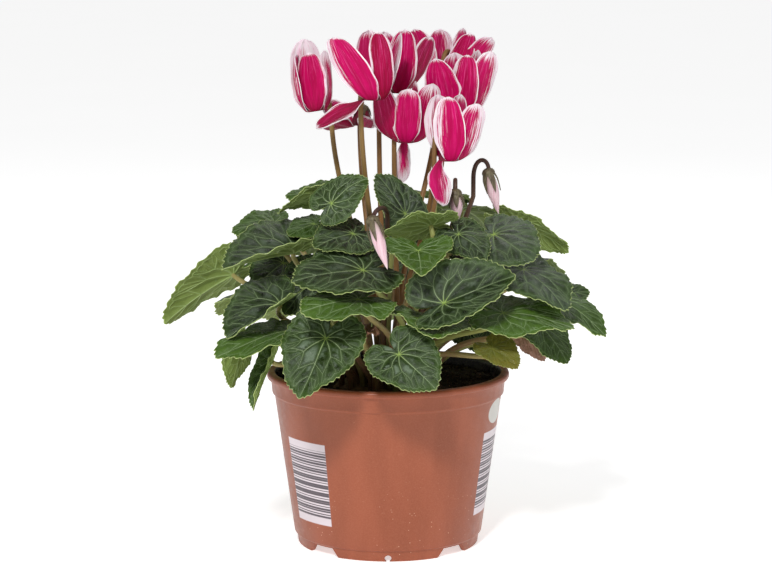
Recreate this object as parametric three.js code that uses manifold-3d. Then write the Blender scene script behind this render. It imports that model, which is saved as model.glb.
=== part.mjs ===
// Potted cyclamen in a 12 cm nursery pot. Millimetres, +Z up.
// The origin is on the surface that the pot stands on, below the pot's axis; the front faces -Y.
import * as THREE from 'three';
import { mergeVertices } from 'three/addons/utils/BufferGeometryUtils.js';
import Module from 'manifold-3d';

const wasm = await Module();
wasm.setup();

// ---- Pot ----
const POT_HEIGHT = 86;
const RIM_RADIUS = 60;
const WALL = 1.6;
const BAND_BOTTOM = 75;
const BAND_RADIUS = 57.4;
const WALL_TOP_RADIUS = 56.2;
const STEP_HEIGHT = 5;
const WALL_FOOT_RADIUS = 46.6;
const FOOT_RADIUS = 45.4;
const FOOT_HEIGHT = 4.6;
const FOOT_COUNT = 4;
const FOOT_GAP = 16.5;
const FOOT_SLANT = 3.5;
const FOOT_TURN = 45;
const NOTCH_RADIUS = 1.7;
const NOTCH_Z = 1.5;
const LIP = 3;
const STEP_WIDTH = 3.2;
const POT_SIDES = 24;
const DRAIN_RADIUS = 4;
const DRAIN_CIRCLE = 30;

// ---- Growing medium and tuber ----
const SOIL_TOP = 81;
const SOIL_DIP = 3.2;
const GAP = 0.3;
const TUBER_RADIUS = 29;
const TUBER_TOP = 82;
const TUBER_MIDDLE = 68;
const TUBER_BOTTOM = 54;
const TUBER_SIDES = 14;

// ---- Stems ----
const ROOT_DEPTH = 10;
const ROOT_Z = 83.5;
const HOLE_MARGIN = 0.7;
const STEM_SIDES = 5;
const HOLE_SIDES = 5;
const PETIOLE_FOOT_RADIUS = 1.7;
const BRANCH_RADIUS = 1.25;
const BRANCH_DEPTH = 3;
const PETIOLE_STEPS = 3;
const ROOT_SPACING = 4.8;
const ROOT_RINGS = 5;
const INNER_ROOT = 7;
const OUTER_ROOT = 24;
const LOW_LEAF = 101;
const HIGH_LEAF = 176;

// ---- Blades ----
const BLADE = 0.8;
const RIM_POINTS = 20;
const TOOTH = 0.035;
const NECK = 0.035;
const MIDDLE_RING = 0.55;
const WAVES = 5;
// Half of the heart outline from the tip to the notch, in blade lengths: [along, across].
const HALF_OUTLINE = [
  [1, 0], [0.86, 0.22], [0.58, 0.43], [0.24, 0.57], [-0.1, 0.58], [-0.34, 0.47], [-0.45, 0.26], [-0.36, 0.08],
  [-0.14, 0],
];
const LIFTS = [0, 1.5, 3, 4.5, 6, 8, 10, 12, -2, -4, -6, -8];
const SLIDES = [0, 4, -4, 8];
const SWAYS = [0, 4, -4, 8, -8, 12, -12, 17, -17, 22, -22, 28, -28];

// ---- Flowers ----
const STALK_RADIUS = 1.25;
const STALK_STEPS = 4;
const STALK_CLEAR = 11;
const MOUTH_RADIUS = 4.6;
const TUBE_HEIGHT = 8;
const TUBE_SIDES = 5;
const MOUTH_DEPTH = 2.4;
const CALYX_Z = TUBE_HEIGHT - 0.7;
const CALYX_RADIUS = 3.9;
const CALYX_SIDES = 5;
const HOOK_RADIUS = 7.2;
const FLOWER_HOOK_RISE = 9;
const FLOWER_SLANT = 0.2;
const BUD_RADIUS = 3.6;
const BUD_ROOT = INNER_ROOT + 6;
const PETAL = 0.8;
const PETAL_ROWS = [0, 0.22, 0.5, 0.8, 1];
const PETAL_COLUMNS = 2;
const PETAL_CURL = 0.12;
const PETAL_FOOT = 0.26;
const PETAL_WIDEST = 0.62;
const PETAL_BLUNTNESS = 3;
const PETAL_CUP = 0.14;
// How far out and down a petal goes before it turns up, and how far out its tip is from its foot.
const PETAL_BEND = [4.2, -3.2];
const PETAL_OUT = 1.2;
const FIRST_PETAL = 46;
const PETAL_SPACING = 67;

// Leaves: node, attachment, tip, the way the upper face looks, then width, cup, fold left and right
// (degrees), droop, wave and the wave's phase. Leaves of one node share a root.
const LEAVES = [
  ['leaf_far_left', [-76, 5, 132], [-109.5, -5, 109], [-0.35, 0.8, 0.45], 0.8, 0.1, 0, 35, 0.1, 0.03, 0],
  ['leaf_left_folded', [-46, -28, 147], [-79, -46, 140], [-0.1, -0.75, 0.65], 1.05, 0.1, 66, 0, 0.1, 0.03, 1],
  ['leaf_left_low', [-54, -46, 118], [-78, -66, 104], [-0.35, -0.8, 0.5], 1.1, 0.05, 55, 0, 0.1, 0.04, 2],
  ['leaf_left_under', [-47, -52, 114], [-80, -78, 106], [-0.1, -0.25, 0.96], 0.7, 0.1, 0, 0, 0.15, 0.04, 3],
  ['leaf_drooping', [-70, -30, 104], [-76, -38, 84], [-0.75, 0.6, 0.15], 0.9, 0.1, 10, 10, 0, 0.03, 4],
  ['leaf_curled', [-55, -50, 99], [-64, -62, 78], [-0.6, -0.6, 0.3], 0.5, 0, 55, 45, 0.1, 0.03, 5],
  ['leaf_front_left', [-29, -72, 114], [-41, -93, 90], [-0.1, -0.95, 0.3], 0.95, 0.12, 15, 0, 0.1, 0.03, 6],
  ['leaf_front_low', [5, -80, 108], [22, -94, 94], [0.1, -0.8, 0.5], 1.1, 0.1, 10, 10, 0, 0.03, 7],
  ['leaf_mid_left', [-12, -60, 143], [-45, -73, 138], [-0.05, -0.6, 0.8], 1.05, 0.14, 18, 0, 0.1, 0.04, 8],
  ['leaf_mid_under', [-14, -70, 132], [-40, -88, 128], [0, -0.3, 0.95], 1, 0.1, 0, 0, 0.1, 0.06, 9],
  ['leaf_top_left', [-21, -13, 179], [-51, -20, 170], [-0.2, 0.5, 0.84], 0.7, 0.1, 0, 0, 0.1, 0.04, 10],
  ['leaf_silver', [-25, -36, 170], [-8, -33, 182], [-0.35, -0.75, 0.55], 1, 0.1, 0, 0, 0.1, 0.03, 11],
  ['leaf_behind_bud', [-20, -44, 157], [-38, -57, 152], [-0.1, -0.6, 0.8], 1.1, 0.1, 0, 0, 0.1, 0.03, 12],
  ['leaves_left_back', [-57, 6, 158], [-77, 1, 154], [-0.3, -0.6, 0.74], 1, 0.15, 0, 0, 0.1, 0.04, 13],
  ['leaves_left_back', [-36, -14, 159], [-48, -24, 154], [-0.2, -0.6, 0.8], 1, 0.1, 0, 0, 0.1, 0.04, 14],
  ['leaf_top_upright', [8, -35, 168], [-6, -28, 186], [0.45, -0.7, 0.55], 0.8, 0.1, 0, 25, 0.1, 0.03, 15],
  ['leaf_top_middle', [20, -48, 164], [-4, -58, 162], [0, 0.6, 0.8], 0.95, 0.1, 0, 0, 0.1, 0.05, 16],
  ['leaf_butterfly', [14, -64, 154], [15, -87, 147], [0, -0.3, 0.95], 1.15, -0.1, 12, 12, 0.15, 0.05, 17],
  ['leaf_right_large', [26, -74, 131], [59, -72, 144], [0.05, -0.97, 0.25], 0.92, 0.14, 0, 55, 0.1, 0.03, 18],
  ['leaf_right_under', [21, -62, 121], [25, -90, 117], [0.15, -0.2, 0.97], 1.2, 0.05, 8, 8, 0.1, 0.06, 19],
  ['leaves_right_high', [50, -44, 159], [68, -62, 148], [0.3, -0.8, 0.52], 1.2, 0.16, 0, 0, 0.1, 0.03, 20],
  ['leaves_right_high', [42, -32, 154], [33, -49, 144], [0, -0.7, 0.7], 1, 0.1, 0, 0, 0.1, 0.04, 45],
  ['leaf_right_back', [62, 2, 159], [89, 4, 143], [0.3, 0.6, 0.74], 0.7, 0.15, 0, 0, 0.1, 0.04, 21],
  ['leaf_right_mid', [64, -50, 143], [82, -72, 127], [0.45, -0.6, 0.65], 1.05, 0.12, 0, 0, 0.1, 0.04, 22],
  ['leaf_right_bright', [54, -63, 124.5], [87, -68, 119], [0.1, -0.4, 0.9], 0.9, 0.1, 0, 0, 0.15, 0.05, 23],
  ['leaves_far_right', [82, -10, 123], [107, -16, 106], [0.45, -0.4, 0.8], 0.9, 0.12, 0, 0, 0.15, 0.04, 24],
  ['leaves_far_right', [82, 22, 118], [102, 26, 121], [0.1, -0.5, 0.85], 0.9, 0.1, 0, 0, 0.1, 0.04, 25],
  ['leaves_right_low', [74, -36, 113], [85, -46, 97], [0.4, -0.6, 0.6], 1, 0.1, 0, 0, 0.1, 0.04, 26],
  ['leaf_yellow', [49, -66, 108], [60, -76, 100], [0.3, -0.75, 0.6], 1, 0.1, 15, 15, 0.1, 0.03, 27],
  ['leaves_right_low', [67, -22, 108], [76, -27, 95], [0.3, -0.8, 0.3], 0.8, 0.1, 0, 0, 0.1, 0.02, 28],
  ['leaf_dead', [-12, -54, 113], [-27, -62, 110], [0, -0.4, 0.9], 0.6, 0, 30, 20, 0.1, 0.04, 29],
  ['leaves_back_1', [-50, 38, 154], [-78, 54, 142], [-0.4, 0.3, 0.87], 1, 0.12, 0, 0, 0.1, 0.04, 30],
  ['leaves_back_1', [-62, 42, 122], [-88, 58, 104], [-0.5, 0.4, 0.77], 1, 0.12, 0, 0, 0.1, 0.04, 31],
  ['leaves_back_2', [-32, 56, 146], [-46, 86, 130], [-0.3, 0.6, 0.74], 1, 0.12, 0, 0, 0.1, 0.04, 32],
  ['leaves_back_2', [-44, 62, 112], [-62, 90, 94], [-0.4, 0.7, 0.6], 1, 0.12, 0, 0, 0.1, 0.04, 33],
  ['leaves_back_3', [2, 62, 144], [4, 96, 126], [0, 0.7, 0.7], 1, 0.12, 0, 0, 0.1, 0.04, 34],
  ['leaves_back_3', [-8, 70, 108], [-12, 98, 88], [-0.05, 0.8, 0.6], 1, 0.12, 0, 0, 0.1, 0.04, 35],
  ['leaves_back_3', [10, 50, 146], [12, 38, 118], [0, -0.9, 0.4], 1.2, 0.1, 0, 0, 0.1, 0.04, 44],
  ['leaves_back_4', [36, 52, 148], [52, 82, 134], [0.3, 0.6, 0.74], 1, 0.12, 0, 0, 0.1, 0.04, 36],
  ['leaves_back_4', [38, 66, 112], [52, 94, 94], [0.35, 0.7, 0.6], 1, 0.12, 0, 0, 0.1, 0.04, 37],
  ['leaves_back_4', [38, 42, 108], [44, 26, 90], [0.1, -0.9, 0.35], 1, 0.1, 0, 0, 0.1, 0.04, 47],
  ['leaves_back_5', [62, 34, 138], [92, 48, 124], [0.5, 0.4, 0.77], 1, 0.12, 0, 0, 0.1, 0.04, 38],
  ['leaves_back_5', [24, 34, 168], [40, 54, 160], [0.3, 0.5, 0.81], 1, 0.1, 0, 0, 0.1, 0.04, 40],
  ['leaves_back_5', [52, 30, 108], [60, 18, 90], [0.2, -0.9, 0.3], 1, 0.1, 0, 0, 0.1, 0.04, 46],
  ['leaf_back_6', [-28, 14, 171], [-51, 16, 170], [-0.1, -0.5, 0.85], 0.9, 0.1, 0, 0, 0.1, 0.04, 39],
  ['leaves_inner_1', [-52, 8, 138], [-66, -8, 128], [-0.2, -0.85, 0.5], 1, 0.1, 0, 0, 0.1, 0.04, 41],
  ['leaves_inner_1', [-36, -12, 130], [-50, -24, 114], [-0.1, -0.85, 0.5], 1, 0.1, 0, 0, 0.1, 0.04, 42],
  ['leaf_top_right', [28, -46, 164], [41, -58, 154], [0.1, -0.75, 0.65], 1, 0.1, 0, 0, 0.1, 0.04, 43],
];

// Flowers: name, mouth, lean of the crown, the side that the stalk is on (degrees), and five petals
// of [length, width, rise from level, twist, sideways sweep] (degrees), in order round from the stalk.
const FLOWERS = [
  ['a', [-35, -4, 215], [-0.16, 0, 0.98], 20, [
    [28, 13, 80, 15, 12], [34, 17, 88, 25, -8], [28, 15, 86, 25, 8],
    [28, 15, 84, 15, 3], [28, 9, 80, 20, 0],
  ]],
  ['b', [-7, -19, 221.5], [0, -0.05, 1], 150, [
    [27, 16, -30, 15, 0], [30, 19, 82, 12, -30], [33, 11, 84, 55, -16],
    [32, 16, 71, 20, -3], [32, 16, 84, 30, 0],
  ]],
  ['c', [2.8, 16, 222.3], [0.05, 0, 1], 180, [
    [28, 14, 80, -20, -4], [31, 15, 84, 35, 2], [30, 17, 66, 35, 0],
    [28, 15, 80, 20, 0], [29, 15, 82, 30, 0],
  ]],
  ['d', [9.2, -3.5, 199.7], [0, -0.05, 1], 150, [
    [28, 17, 72, -40, 0], [27, 15, 78, 15, 4], [30, 16, 72, 40, 0],
    [28, 14, 80, 20, 12], [22, 9, -82, 20, 0],
  ]],
  ['e', [30, 40, 227.3], [0.1, 0, 1], 240, [
    [24, 12, 80, 10, 15], [27, 17, 56, 45, 0], [26, 14, 76, 25, 0],
    [24, 14, 78, 25, 0], [26, 15, 60, -30, -15],
  ]],
  ['f', [35, -3, 213], [0.06, 0, 1], 160, [
    [28, 17, 68, -40, 0], [29, 15, 82, 30, 2], [32, 17, 74, 30, 0],
    [31, 16, 80, 25, 0], [29, 15, 80, 20, 0],
  ]],
  ['g', [29, -31, 193.5], [0, -0.05, 1], 165, [
    [21, 14, -72, 15, 32], [31, 15, 82, 20, -4], [28, 16, 72, 45, 0],
    [30, 15, 82, 20, 0], [30, 14, 78, 20, 0],
  ]],
  ['h', [-13, 32, 205], [0, 0, 1], 100, [
    [20, 14, 30, 20, 0], [18, 16, 2, -20, 0], [18, 10, 15, 25, 0],
    [25, 14, -6, 50, 0], [24, 13, 8, 20, 0],
  ]],
];

// Buds: name, calyx, lean of the spindle's axis, the side that the stalk is on (degrees), spindle length,
// then the reach and rise of the stalk's hook.
const BUDS = [
  ['right', [49, -8, 184], [-0.25, 0, 1], 180, 20, 7.5, 9],
  ['middle', [32, -36, 177], [-0.1, 0, 1], 90, 13, 7.5, 9],
  ['front', [-7, -76, 169], [-0.28, 0.45, 0.85], 78, 24, 32, 6],
];

// ---- Solids ----
function toSolid(geometry) {
  const bare = geometry.clone();
  bare.deleteAttribute('normal');
  bare.deleteAttribute('uv');
  const merged = mergeVertices(bare, 1e-4);
  const mesh = new wasm.Mesh({
    numProp: 3,
    vertProperties: new Float32Array(merged.attributes.position.array),
    triVerts: new Uint32Array(merged.index.array),
  });
  return new wasm.Manifold(mesh);
}

function toGeometry(solid) {
  const mesh = solid.getMesh();
  const geometry = new THREE.BufferGeometry();
  geometry.setAttribute('position', new THREE.BufferAttribute(new Float32Array(mesh.vertProperties), 3));
  geometry.setIndex(new THREE.BufferAttribute(new Uint32Array(mesh.triVerts), 1));
  geometry.computeVertexNormals();
  return geometry;
}

function fromTriangles(points, triangles) {
  const geometry = new THREE.BufferGeometry();
  geometry.setAttribute('position', new THREE.Float32BufferAttribute(points.flatMap((p) => p.toArray()), 3));
  geometry.setIndex(triangles.flat());
  return geometry;
}

function lathe(profile, sides) {
  const geometry = new THREE.LatheGeometry(profile.map(([r, z]) => new THREE.Vector2(r, z)), sides);
  geometry.rotateX(Math.PI / 2);
  return geometry;
}

function joinAll(solids) {
  return solids.reduce((sum, solid) => sum.add(solid));
}

// ---- Pot, growing medium and tuber ----
function potSolid() {
  const floorZ = FOOT_HEIGHT + WALL;
  const innerTop = WALL_TOP_RADIUS - WALL;
  const innerFoot = WALL_FOOT_RADIUS - WALL;
  const underside = FOOT_RADIUS - STEP_WIDTH;
  const shell = toSolid(lathe([
    [0, FOOT_HEIGHT], [underside, FOOT_HEIGHT], [underside, 0], [FOOT_RADIUS - 0.6, 0],
    [FOOT_RADIUS, STEP_HEIGHT], [WALL_FOOT_RADIUS, STEP_HEIGHT + 0.6], [WALL_TOP_RADIUS, BAND_BOTTOM],
    [BAND_RADIUS, BAND_BOTTOM + 0.8], [BAND_RADIUS + 0.6, POT_HEIGHT - LIP - 0.4],
    [RIM_RADIUS - 0.4, POT_HEIGHT - LIP], [RIM_RADIUS, POT_HEIGHT - 1.2], [RIM_RADIUS - 1.2, POT_HEIGHT],
    [BAND_RADIUS - 1, POT_HEIGHT], [BAND_RADIUS - WALL, POT_HEIGHT - 2], [innerTop, BAND_BOTTOM - 1],
    [innerFoot, floorZ], [0, floorZ],
  ], POT_SIDES));
  const cuts = [];
  for (let i = 0; i < FOOT_COUNT; i += 1) {
    const turn = THREE.MathUtils.degToRad(FOOT_TURN + (i * 360) / FOOT_COUNT);
    cuts.push(footGap(turn));
    cuts.push(notch(turn + Math.PI / FOOT_COUNT));
    cuts.push(drain(turn + Math.PI / FOOT_COUNT));
  }
  return shell.subtract(joinAll(cuts));
}

function footGap(turn) {
  const shape = new THREE.Shape();
  const top = (FOOT_GAP - FOOT_SLANT) / 2;
  const foot = (FOOT_GAP + FOOT_SLANT) / 2;
  shape.moveTo(-foot, -0.5);
  shape.lineTo(foot, -0.5);
  shape.lineTo(top, FOOT_HEIGHT - 0.2);
  shape.lineTo(-top, FOOT_HEIGHT - 0.2);
  const geometry = new THREE.ExtrudeGeometry(shape, { depth: 12, bevelEnabled: false });
  geometry.rotateX(Math.PI / 2);
  geometry.rotateZ(Math.PI / 2);
  geometry.translate(FOOT_RADIUS - 8, 0, 0);
  geometry.rotateZ(turn);
  return toSolid(geometry);
}

function notch(turn) {
  const geometry = new THREE.CylinderGeometry(NOTCH_RADIUS, NOTCH_RADIUS, 12, 8);
  geometry.rotateZ(Math.PI / 2);
  geometry.translate(FOOT_RADIUS - 2, 0, NOTCH_Z);
  geometry.rotateZ(turn);
  return toSolid(geometry);
}

function drain(turn) {
  const geometry = new THREE.CylinderGeometry(DRAIN_RADIUS, DRAIN_RADIUS, 3 * WALL, 8);
  geometry.rotateX(Math.PI / 2);
  geometry.translate(DRAIN_CIRCLE * Math.cos(turn), DRAIN_CIRCLE * Math.sin(turn), FOOT_HEIGHT + WALL / 2);
  return toSolid(geometry);
}

function tuberProfile(margin) {
  return [
    [0, TUBER_BOTTOM - margin], [TUBER_RADIUS * 0.6, TUBER_BOTTOM + 2 - margin],
    [TUBER_RADIUS * 0.95 + margin, TUBER_MIDDLE - 6], [TUBER_RADIUS + margin, TUBER_MIDDLE + 3],
    [TUBER_RADIUS - 1 + margin, TUBER_TOP - 5 + margin], [TUBER_RADIUS - 5, TUBER_TOP - 1.5 + margin],
    [0, TUBER_TOP + margin],
  ];
}

function soilSolid() {
  const innerTop = WALL_TOP_RADIUS - WALL - GAP - 0.2;
  const innerFoot = WALL_FOOT_RADIUS - WALL - GAP - 0.2;
  const body = toSolid(lathe([
    [0, FOOT_HEIGHT + WALL + GAP], [innerFoot, FOOT_HEIGHT + WALL + GAP], [innerTop, BAND_BOTTOM - 1.4],
    [innerTop + 0.5, SOIL_TOP - 2], [innerTop - 3, SOIL_TOP], [TUBER_RADIUS + 5, SOIL_TOP + 0.5],
    [TUBER_RADIUS + 1, SOIL_TOP - SOIL_DIP], [0, SOIL_TOP - SOIL_DIP],
  ], POT_SIDES));
  return body.subtract(toSolid(lathe(tuberProfile(GAP), TUBER_SIDES)));
}

function tuberSolid(roots) {
  const holes = roots.map(({ at, radius }) => {
    const geometry = new THREE.CylinderGeometry(radius, radius, 2 * ROOT_DEPTH + 1, HOLE_SIDES);
    geometry.rotateX(Math.PI / 2);
    geometry.translate(at.x, at.y, ROOT_Z);
    return toSolid(geometry);
  });
  return toSolid(lathe(tuberProfile(0), TUBER_SIDES)).subtract(joinAll(holes));
}

// ---- Stems ----
// The crown of the tuber has slots in rings. Each stem takes the free one nearest to where it would stand.
const slots = [];
for (let ring = 1; ring <= ROOT_RINGS; ring += 1) {
  const count = Math.floor(2 * Math.PI * ring);
  for (let k = 0; k < count; k += 1) {
    const angle = (2 * Math.PI * k) / count;
    const away = ring * ROOT_SPACING;
    slots.push(new THREE.Vector3(away * Math.cos(angle), away * Math.sin(angle), ROOT_Z));
  }
}
const roots = [];

function takeRoot(towards, distance, stemRadius) {
  const aim = new THREE.Vector3(towards.x, towards.y, 0).setLength(distance).setZ(ROOT_Z);
  slots.sort((one, other) => one.distanceTo(aim) - other.distanceTo(aim));
  const at = slots.shift();
  roots.push({ at, radius: stemRadius + HOLE_MARGIN });
  return at;
}

// A tube along a route, whose first ring is given so that it can grow out of a blade.
function tubeRings(route, radii, firstAxis, sides) {
  const rings = [];
  let across = firstAxis.clone();
  let before = route[1].clone().sub(route[0]).normalize();
  for (let k = 0; k < route.length; k += 1) {
    const next = route[Math.min(k + 1, route.length - 1)];
    const last = route[Math.max(k - 1, 0)];
    const tangent = next.clone().sub(last).normalize();
    const turn = new THREE.Quaternion().setFromUnitVectors(before, tangent);
    across = across.applyQuaternion(turn);
    across.sub(tangent.clone().multiplyScalar(across.dot(tangent))).normalize();
    const other = across.clone().cross(tangent);
    const ring = [];
    for (let i = 0; i < sides; i += 1) {
      const angle = (2 * Math.PI * i) / sides;
      ring.push(route[k].clone()
        .addScaledVector(across, radii[k] * Math.cos(angle))
        .addScaledVector(other, radii[k] * Math.sin(angle)));
    }
    rings.push(ring);
    before = tangent;
  }
  return rings;
}

function bezier(points, steps) {
  const curve = new THREE.CubicBezierCurve3(...points);
  return curve.getPoints(steps);
}

function petioleRoute(leaf, root, sway, depth) {
  const start = leaf.attach.clone().addScaledVector(leaf.up, -BLADE / 2);
  const span = start.distanceTo(root);
  const sideways = new THREE.Vector3(-(start.y - root.y), start.x - root.x, 0).normalize();
  const above = new THREE.Vector3(root.x * 1.2, root.y * 1.2, root.z + 0.42 * span);
  const points = [
    start,
    start.clone().addScaledVector(leaf.up, -0.22 * span).addScaledVector(sideways, 0.3 * sway),
    above.addScaledVector(sideways, sway),
    root,
  ];
  return [...bezier(points, PETIOLE_STEPS), root.clone().setZ(ROOT_Z - depth)];
}

// ---- Blades ----
const outlinePoints = HALF_OUTLINE.map(([along, across]) => new THREE.Vector2(along, across));
const outlineCurve = new THREE.SplineCurve(outlinePoints);

function outlinePoint(j, count) {
  const half = count / 2;
  const left = j <= half;
  const point = outlineCurve.getPoint((left ? j : count - j) / half);
  const tooth = j % 2 ? TOOTH : -TOOTH;
  const scale = j % half === 0 ? 1 : 1 + tooth;
  return new THREE.Vector2(point.x * scale, (left ? 1 : -1) * point.y * scale);
}

function makeLeaf(row, lift, slide) {
  const [node, attach, tip, face, width, cup, foldLeft, foldRight, droop, wave, phase] = row;
  const start = new THREE.Vector3(...attach);
  const along = new THREE.Vector3(...tip).sub(start);
  const length = along.length();
  along.normalize();
  const up = new THREE.Vector3(...face);
  up.addScaledVector(along, -up.dot(along)).normalize();
  const across = up.clone().cross(along);
  start.addScaledVector(up, lift).addScaledVector(along, slide);
  return {
    node, attach: start, along, across, up, length, width, cup, droop, wave, phase,
    foldLeft: THREE.MathUtils.degToRad(foldLeft), foldRight: THREE.MathUtils.degToRad(foldRight),
  };
}

// A place on the blade's middle surface; u runs to the tip and v to the left, in blade lengths.
function bladePoint(leaf, u, v) {
  const fold = v > 0 ? leaf.foldLeft : leaf.foldRight;
  const reach = Math.abs(v) * leaf.width;
  const sideways = Math.sign(v) * reach * Math.cos(fold);
  const ripple = Math.sin(WAVES * Math.atan2(v, u) + leaf.phase);
  const wave = leaf.wave * ripple * Math.min(1, 2 * (u * u + v * v));
  const ahead = Math.max(u, 0);
  const bow = (leaf.cup + leaf.droop) * ahead * (1 - ahead);
  const arch = bow - leaf.cup * (Math.min(u, 0) ** 2 + reach * reach);
  const rise = reach * Math.sin(fold) + arch + wave;
  return leaf.attach.clone()
    .addScaledVector(leaf.along, u * leaf.length)
    .addScaledVector(leaf.across, sideways * leaf.length)
    .addScaledVector(leaf.up, rise * leaf.length);
}

function bladeNormal(leaf, u, v) {
  const step = 0.02;
  const du = bladePoint(leaf, u + step, v).sub(bladePoint(leaf, u - step, v));
  const dv = bladePoint(leaf, u, v + step).sub(bladePoint(leaf, u, v - step));
  return du.cross(dv).normalize();
}

function ringPair(leaf, uvs) {
  const top = [];
  const bottom = [];
  for (const uv of uvs) {
    const middle = bladePoint(leaf, uv.x, uv.y);
    const normal = bladeNormal(leaf, uv.x, uv.y);
    top.push(middle.clone().addScaledVector(normal, BLADE / 2));
    bottom.push(middle.clone().addScaledVector(normal, -BLADE / 2));
  }
  return { top, bottom };
}

// Triangles between a ring and one of the same or double the number of points, outside on the left.
function strip(inner, outer, flip) {
  const triangles = [];
  const m = inner.length;
  const n = outer.length;
  for (let i = 0; i < m; i += 1) {
    const a = inner[i];
    const b = inner[(i + 1) % m];
    if (n === m) {
      triangles.push([a, outer[i], outer[(i + 1) % n]], [a, outer[(i + 1) % n], b]);
    } else {
      const [c, d, e] = [outer[2 * i], outer[2 * i + 1], outer[(2 * i + 2) % n]];
      triangles.push([a, c, d], [a, d, b], [b, d, e]);
    }
  }
  return flip ? triangles.map(([a, b, c]) => [a, c, b]) : triangles;
}

function bladeMesh(leaf) {
  const neck = [];
  const middle = [];
  const rim = [];
  for (let j = 0; j < RIM_POINTS; j += 1) {
    const point = outlinePoint(j, RIM_POINTS);
    rim.push(point);
    if (j % 2 === 0) {
      middle.push(point.clone().multiplyScalar(MIDDLE_RING));
    }
    if (j % 4 === 0) {
      const angle = (2 * Math.PI * j) / RIM_POINTS;
      neck.push(new THREE.Vector2(NECK * Math.cos(angle), NECK * Math.sin(angle)));
    }
  }
  const points = [];
  const keep = (list) => list.map((point) => points.push(point) - 1);
  const [neckPair, middlePair, rimPair] = [neck, middle, rim].map((ring) => ringPair(leaf, ring));
  const centre = keep([bladePoint(leaf, 0, 0).addScaledVector(leaf.up, BLADE / 2)])[0];
  const top = [neckPair, middlePair, rimPair].map((pair) => keep(pair.top));
  const bottom = [neckPair, middlePair, rimPair].map((pair) => keep(pair.bottom));
  const triangles = top[0].map((a, i) => [centre, a, top[0][(i + 1) % STEM_SIDES]]);
  triangles.push(...strip(top[0], top[1], false), ...strip(top[1], top[2], false));
  triangles.push(...strip(bottom[0], bottom[1], true), ...strip(bottom[1], bottom[2], true));
  triangles.push(...strip(top[2], bottom[2], false));
  return { points, triangles, neckRing: bottom[0] };
}

function bladeSolid(leaf) {
  const { points, triangles, neckRing } = bladeMesh(leaf);
  closeEnd(triangles, neckRing);
  return toSolid(fromTriangles(points, triangles));
}

function closeEnd(triangles, ring) {
  for (let i = 1; i < ring.length - 1; i += 1) {
    triangles.push([ring[0], ring[i + 1], ring[i]]);
  }
}

// The first leaf of a node stands in the root's hole; others of the node branch from its foot.
function leafSolid(leaf, root, sway, branches) {
  const { points, triangles, neckRing } = bladeMesh(leaf);
  const foot = branches ? BRANCH_RADIUS : PETIOLE_FOOT_RADIUS;
  const route = petioleRoute(leaf, root, sway, branches ? BRANCH_DEPTH : ROOT_DEPTH);
  const swell = (k) => THREE.MathUtils.lerp(BRANCH_RADIUS, foot, Math.min(1, k / PETIOLE_STEPS));
  const radii = route.map((_, k) => swell(k));
  radii[0] = NECK * leaf.length;
  let last = neckRing;
  for (const ring of tubeRings(route, radii, leaf.along, STEM_SIDES).slice(1)) {
    const indices = ring.map((point) => points.push(point) - 1);
    triangles.push(...strip(last, indices, false));
    last = indices;
  }
  closeEnd(triangles, last);
  return toSolid(fromTriangles(points, triangles));
}

// ---- Flowers and buds ----
function standFrame(at, lean, side) {
  const origin = new THREE.Vector3(...at);
  const up = new THREE.Vector3(...lean).normalize();
  const angle = THREE.MathUtils.degToRad(side);
  const out = new THREE.Vector3(Math.cos(angle), Math.sin(angle), 0);
  out.addScaledVector(up, -out.dot(up)).normalize();
  const left = up.clone().cross(out);
  return (x, y, z) => origin.clone().addScaledVector(out, x).addScaledVector(left, y).addScaledVector(up, z);
}

// The stalk leaves the calyx upwards, bends over in a hook and comes down beside the flower.
// Slant is how straight it makes for the root: at 0 it hangs plumb first.
function stalkRoute(place, { reach, rise, calyxZ, slant }, root, sway) {
  const top = place(0, 0, calyxZ + 1);
  const shoulder = place(reach, 0, calyxZ - 2);
  const beside = place(reach, 0, calyxZ - STALK_CLEAR);
  const crest = calyxZ + rise;
  const arc = bezier([top, place(0, 0, crest), place(reach, 0, crest), shoulder], STALK_STEPS);
  const fall = root.clone().sub(beside);
  const bend = place(sway.x, sway.y, 0).sub(place(0, 0, 0));
  const drop = bezier([
    beside,
    beside.clone().add(fall.multiply(new THREE.Vector3(slant, slant, 1)).multiplyScalar(0.35)).add(bend),
    new THREE.Vector3(root.x, root.y, root.z + 0.4 * (beside.z - root.z)).add(bend),
    root,
  ], STALK_STEPS);
  return [...arc, ...drop, root.clone().setZ(ROOT_Z - ROOT_DEPTH)];
}

function tubeSolid(route, radius, firstAxis) {
  const points = [];
  const keep = (list) => list.map((point) => points.push(point) - 1);
  const rings = tubeRings(route, route.map(() => radius), firstAxis, STEM_SIDES).map(keep);
  const triangles = [];
  for (let k = 1; k < rings.length; k += 1) {
    triangles.push(...strip(rings[k - 1], rings[k], false));
  }
  const [first, last] = [rings[0], rings[rings.length - 1]];
  for (let i = 1; i < STEM_SIDES - 1; i += 1) {
    triangles.push([first[0], first[i], first[i + 1]], [last[0], last[i + 1], last[i]]);
  }
  return toSolid(fromTriangles(points, triangles));
}

function placedLathe(profile, sides, place) {
  const geometry = lathe(profile, sides);
  const position = geometry.attributes.position;
  for (let i = 0; i < position.count; i += 1) {
    const point = place(position.getX(i), position.getY(i), position.getZ(i));
    position.setXYZ(i, point.x, point.y, point.z);
  }
  return toSolid(geometry);
}

function stalkSolid(place, calyxPlace, hook, root, sway) {
  const { calyxZ } = hook;
  const route = stalkRoute(place, hook, root, sway);
  const firstAxis = place(1, 0, 0).sub(place(0, 0, 0));
  const profile = [
    [0, calyxZ], [CALYX_RADIUS, calyxZ], [CALYX_RADIUS - 1.1, calyxZ + 2.2], [0, calyxZ + 2.8],
  ];
  return tubeSolid(route, STALK_RADIUS, firstAxis).add(placedLathe(profile, CALYX_SIDES, calyxPlace));
}

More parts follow.
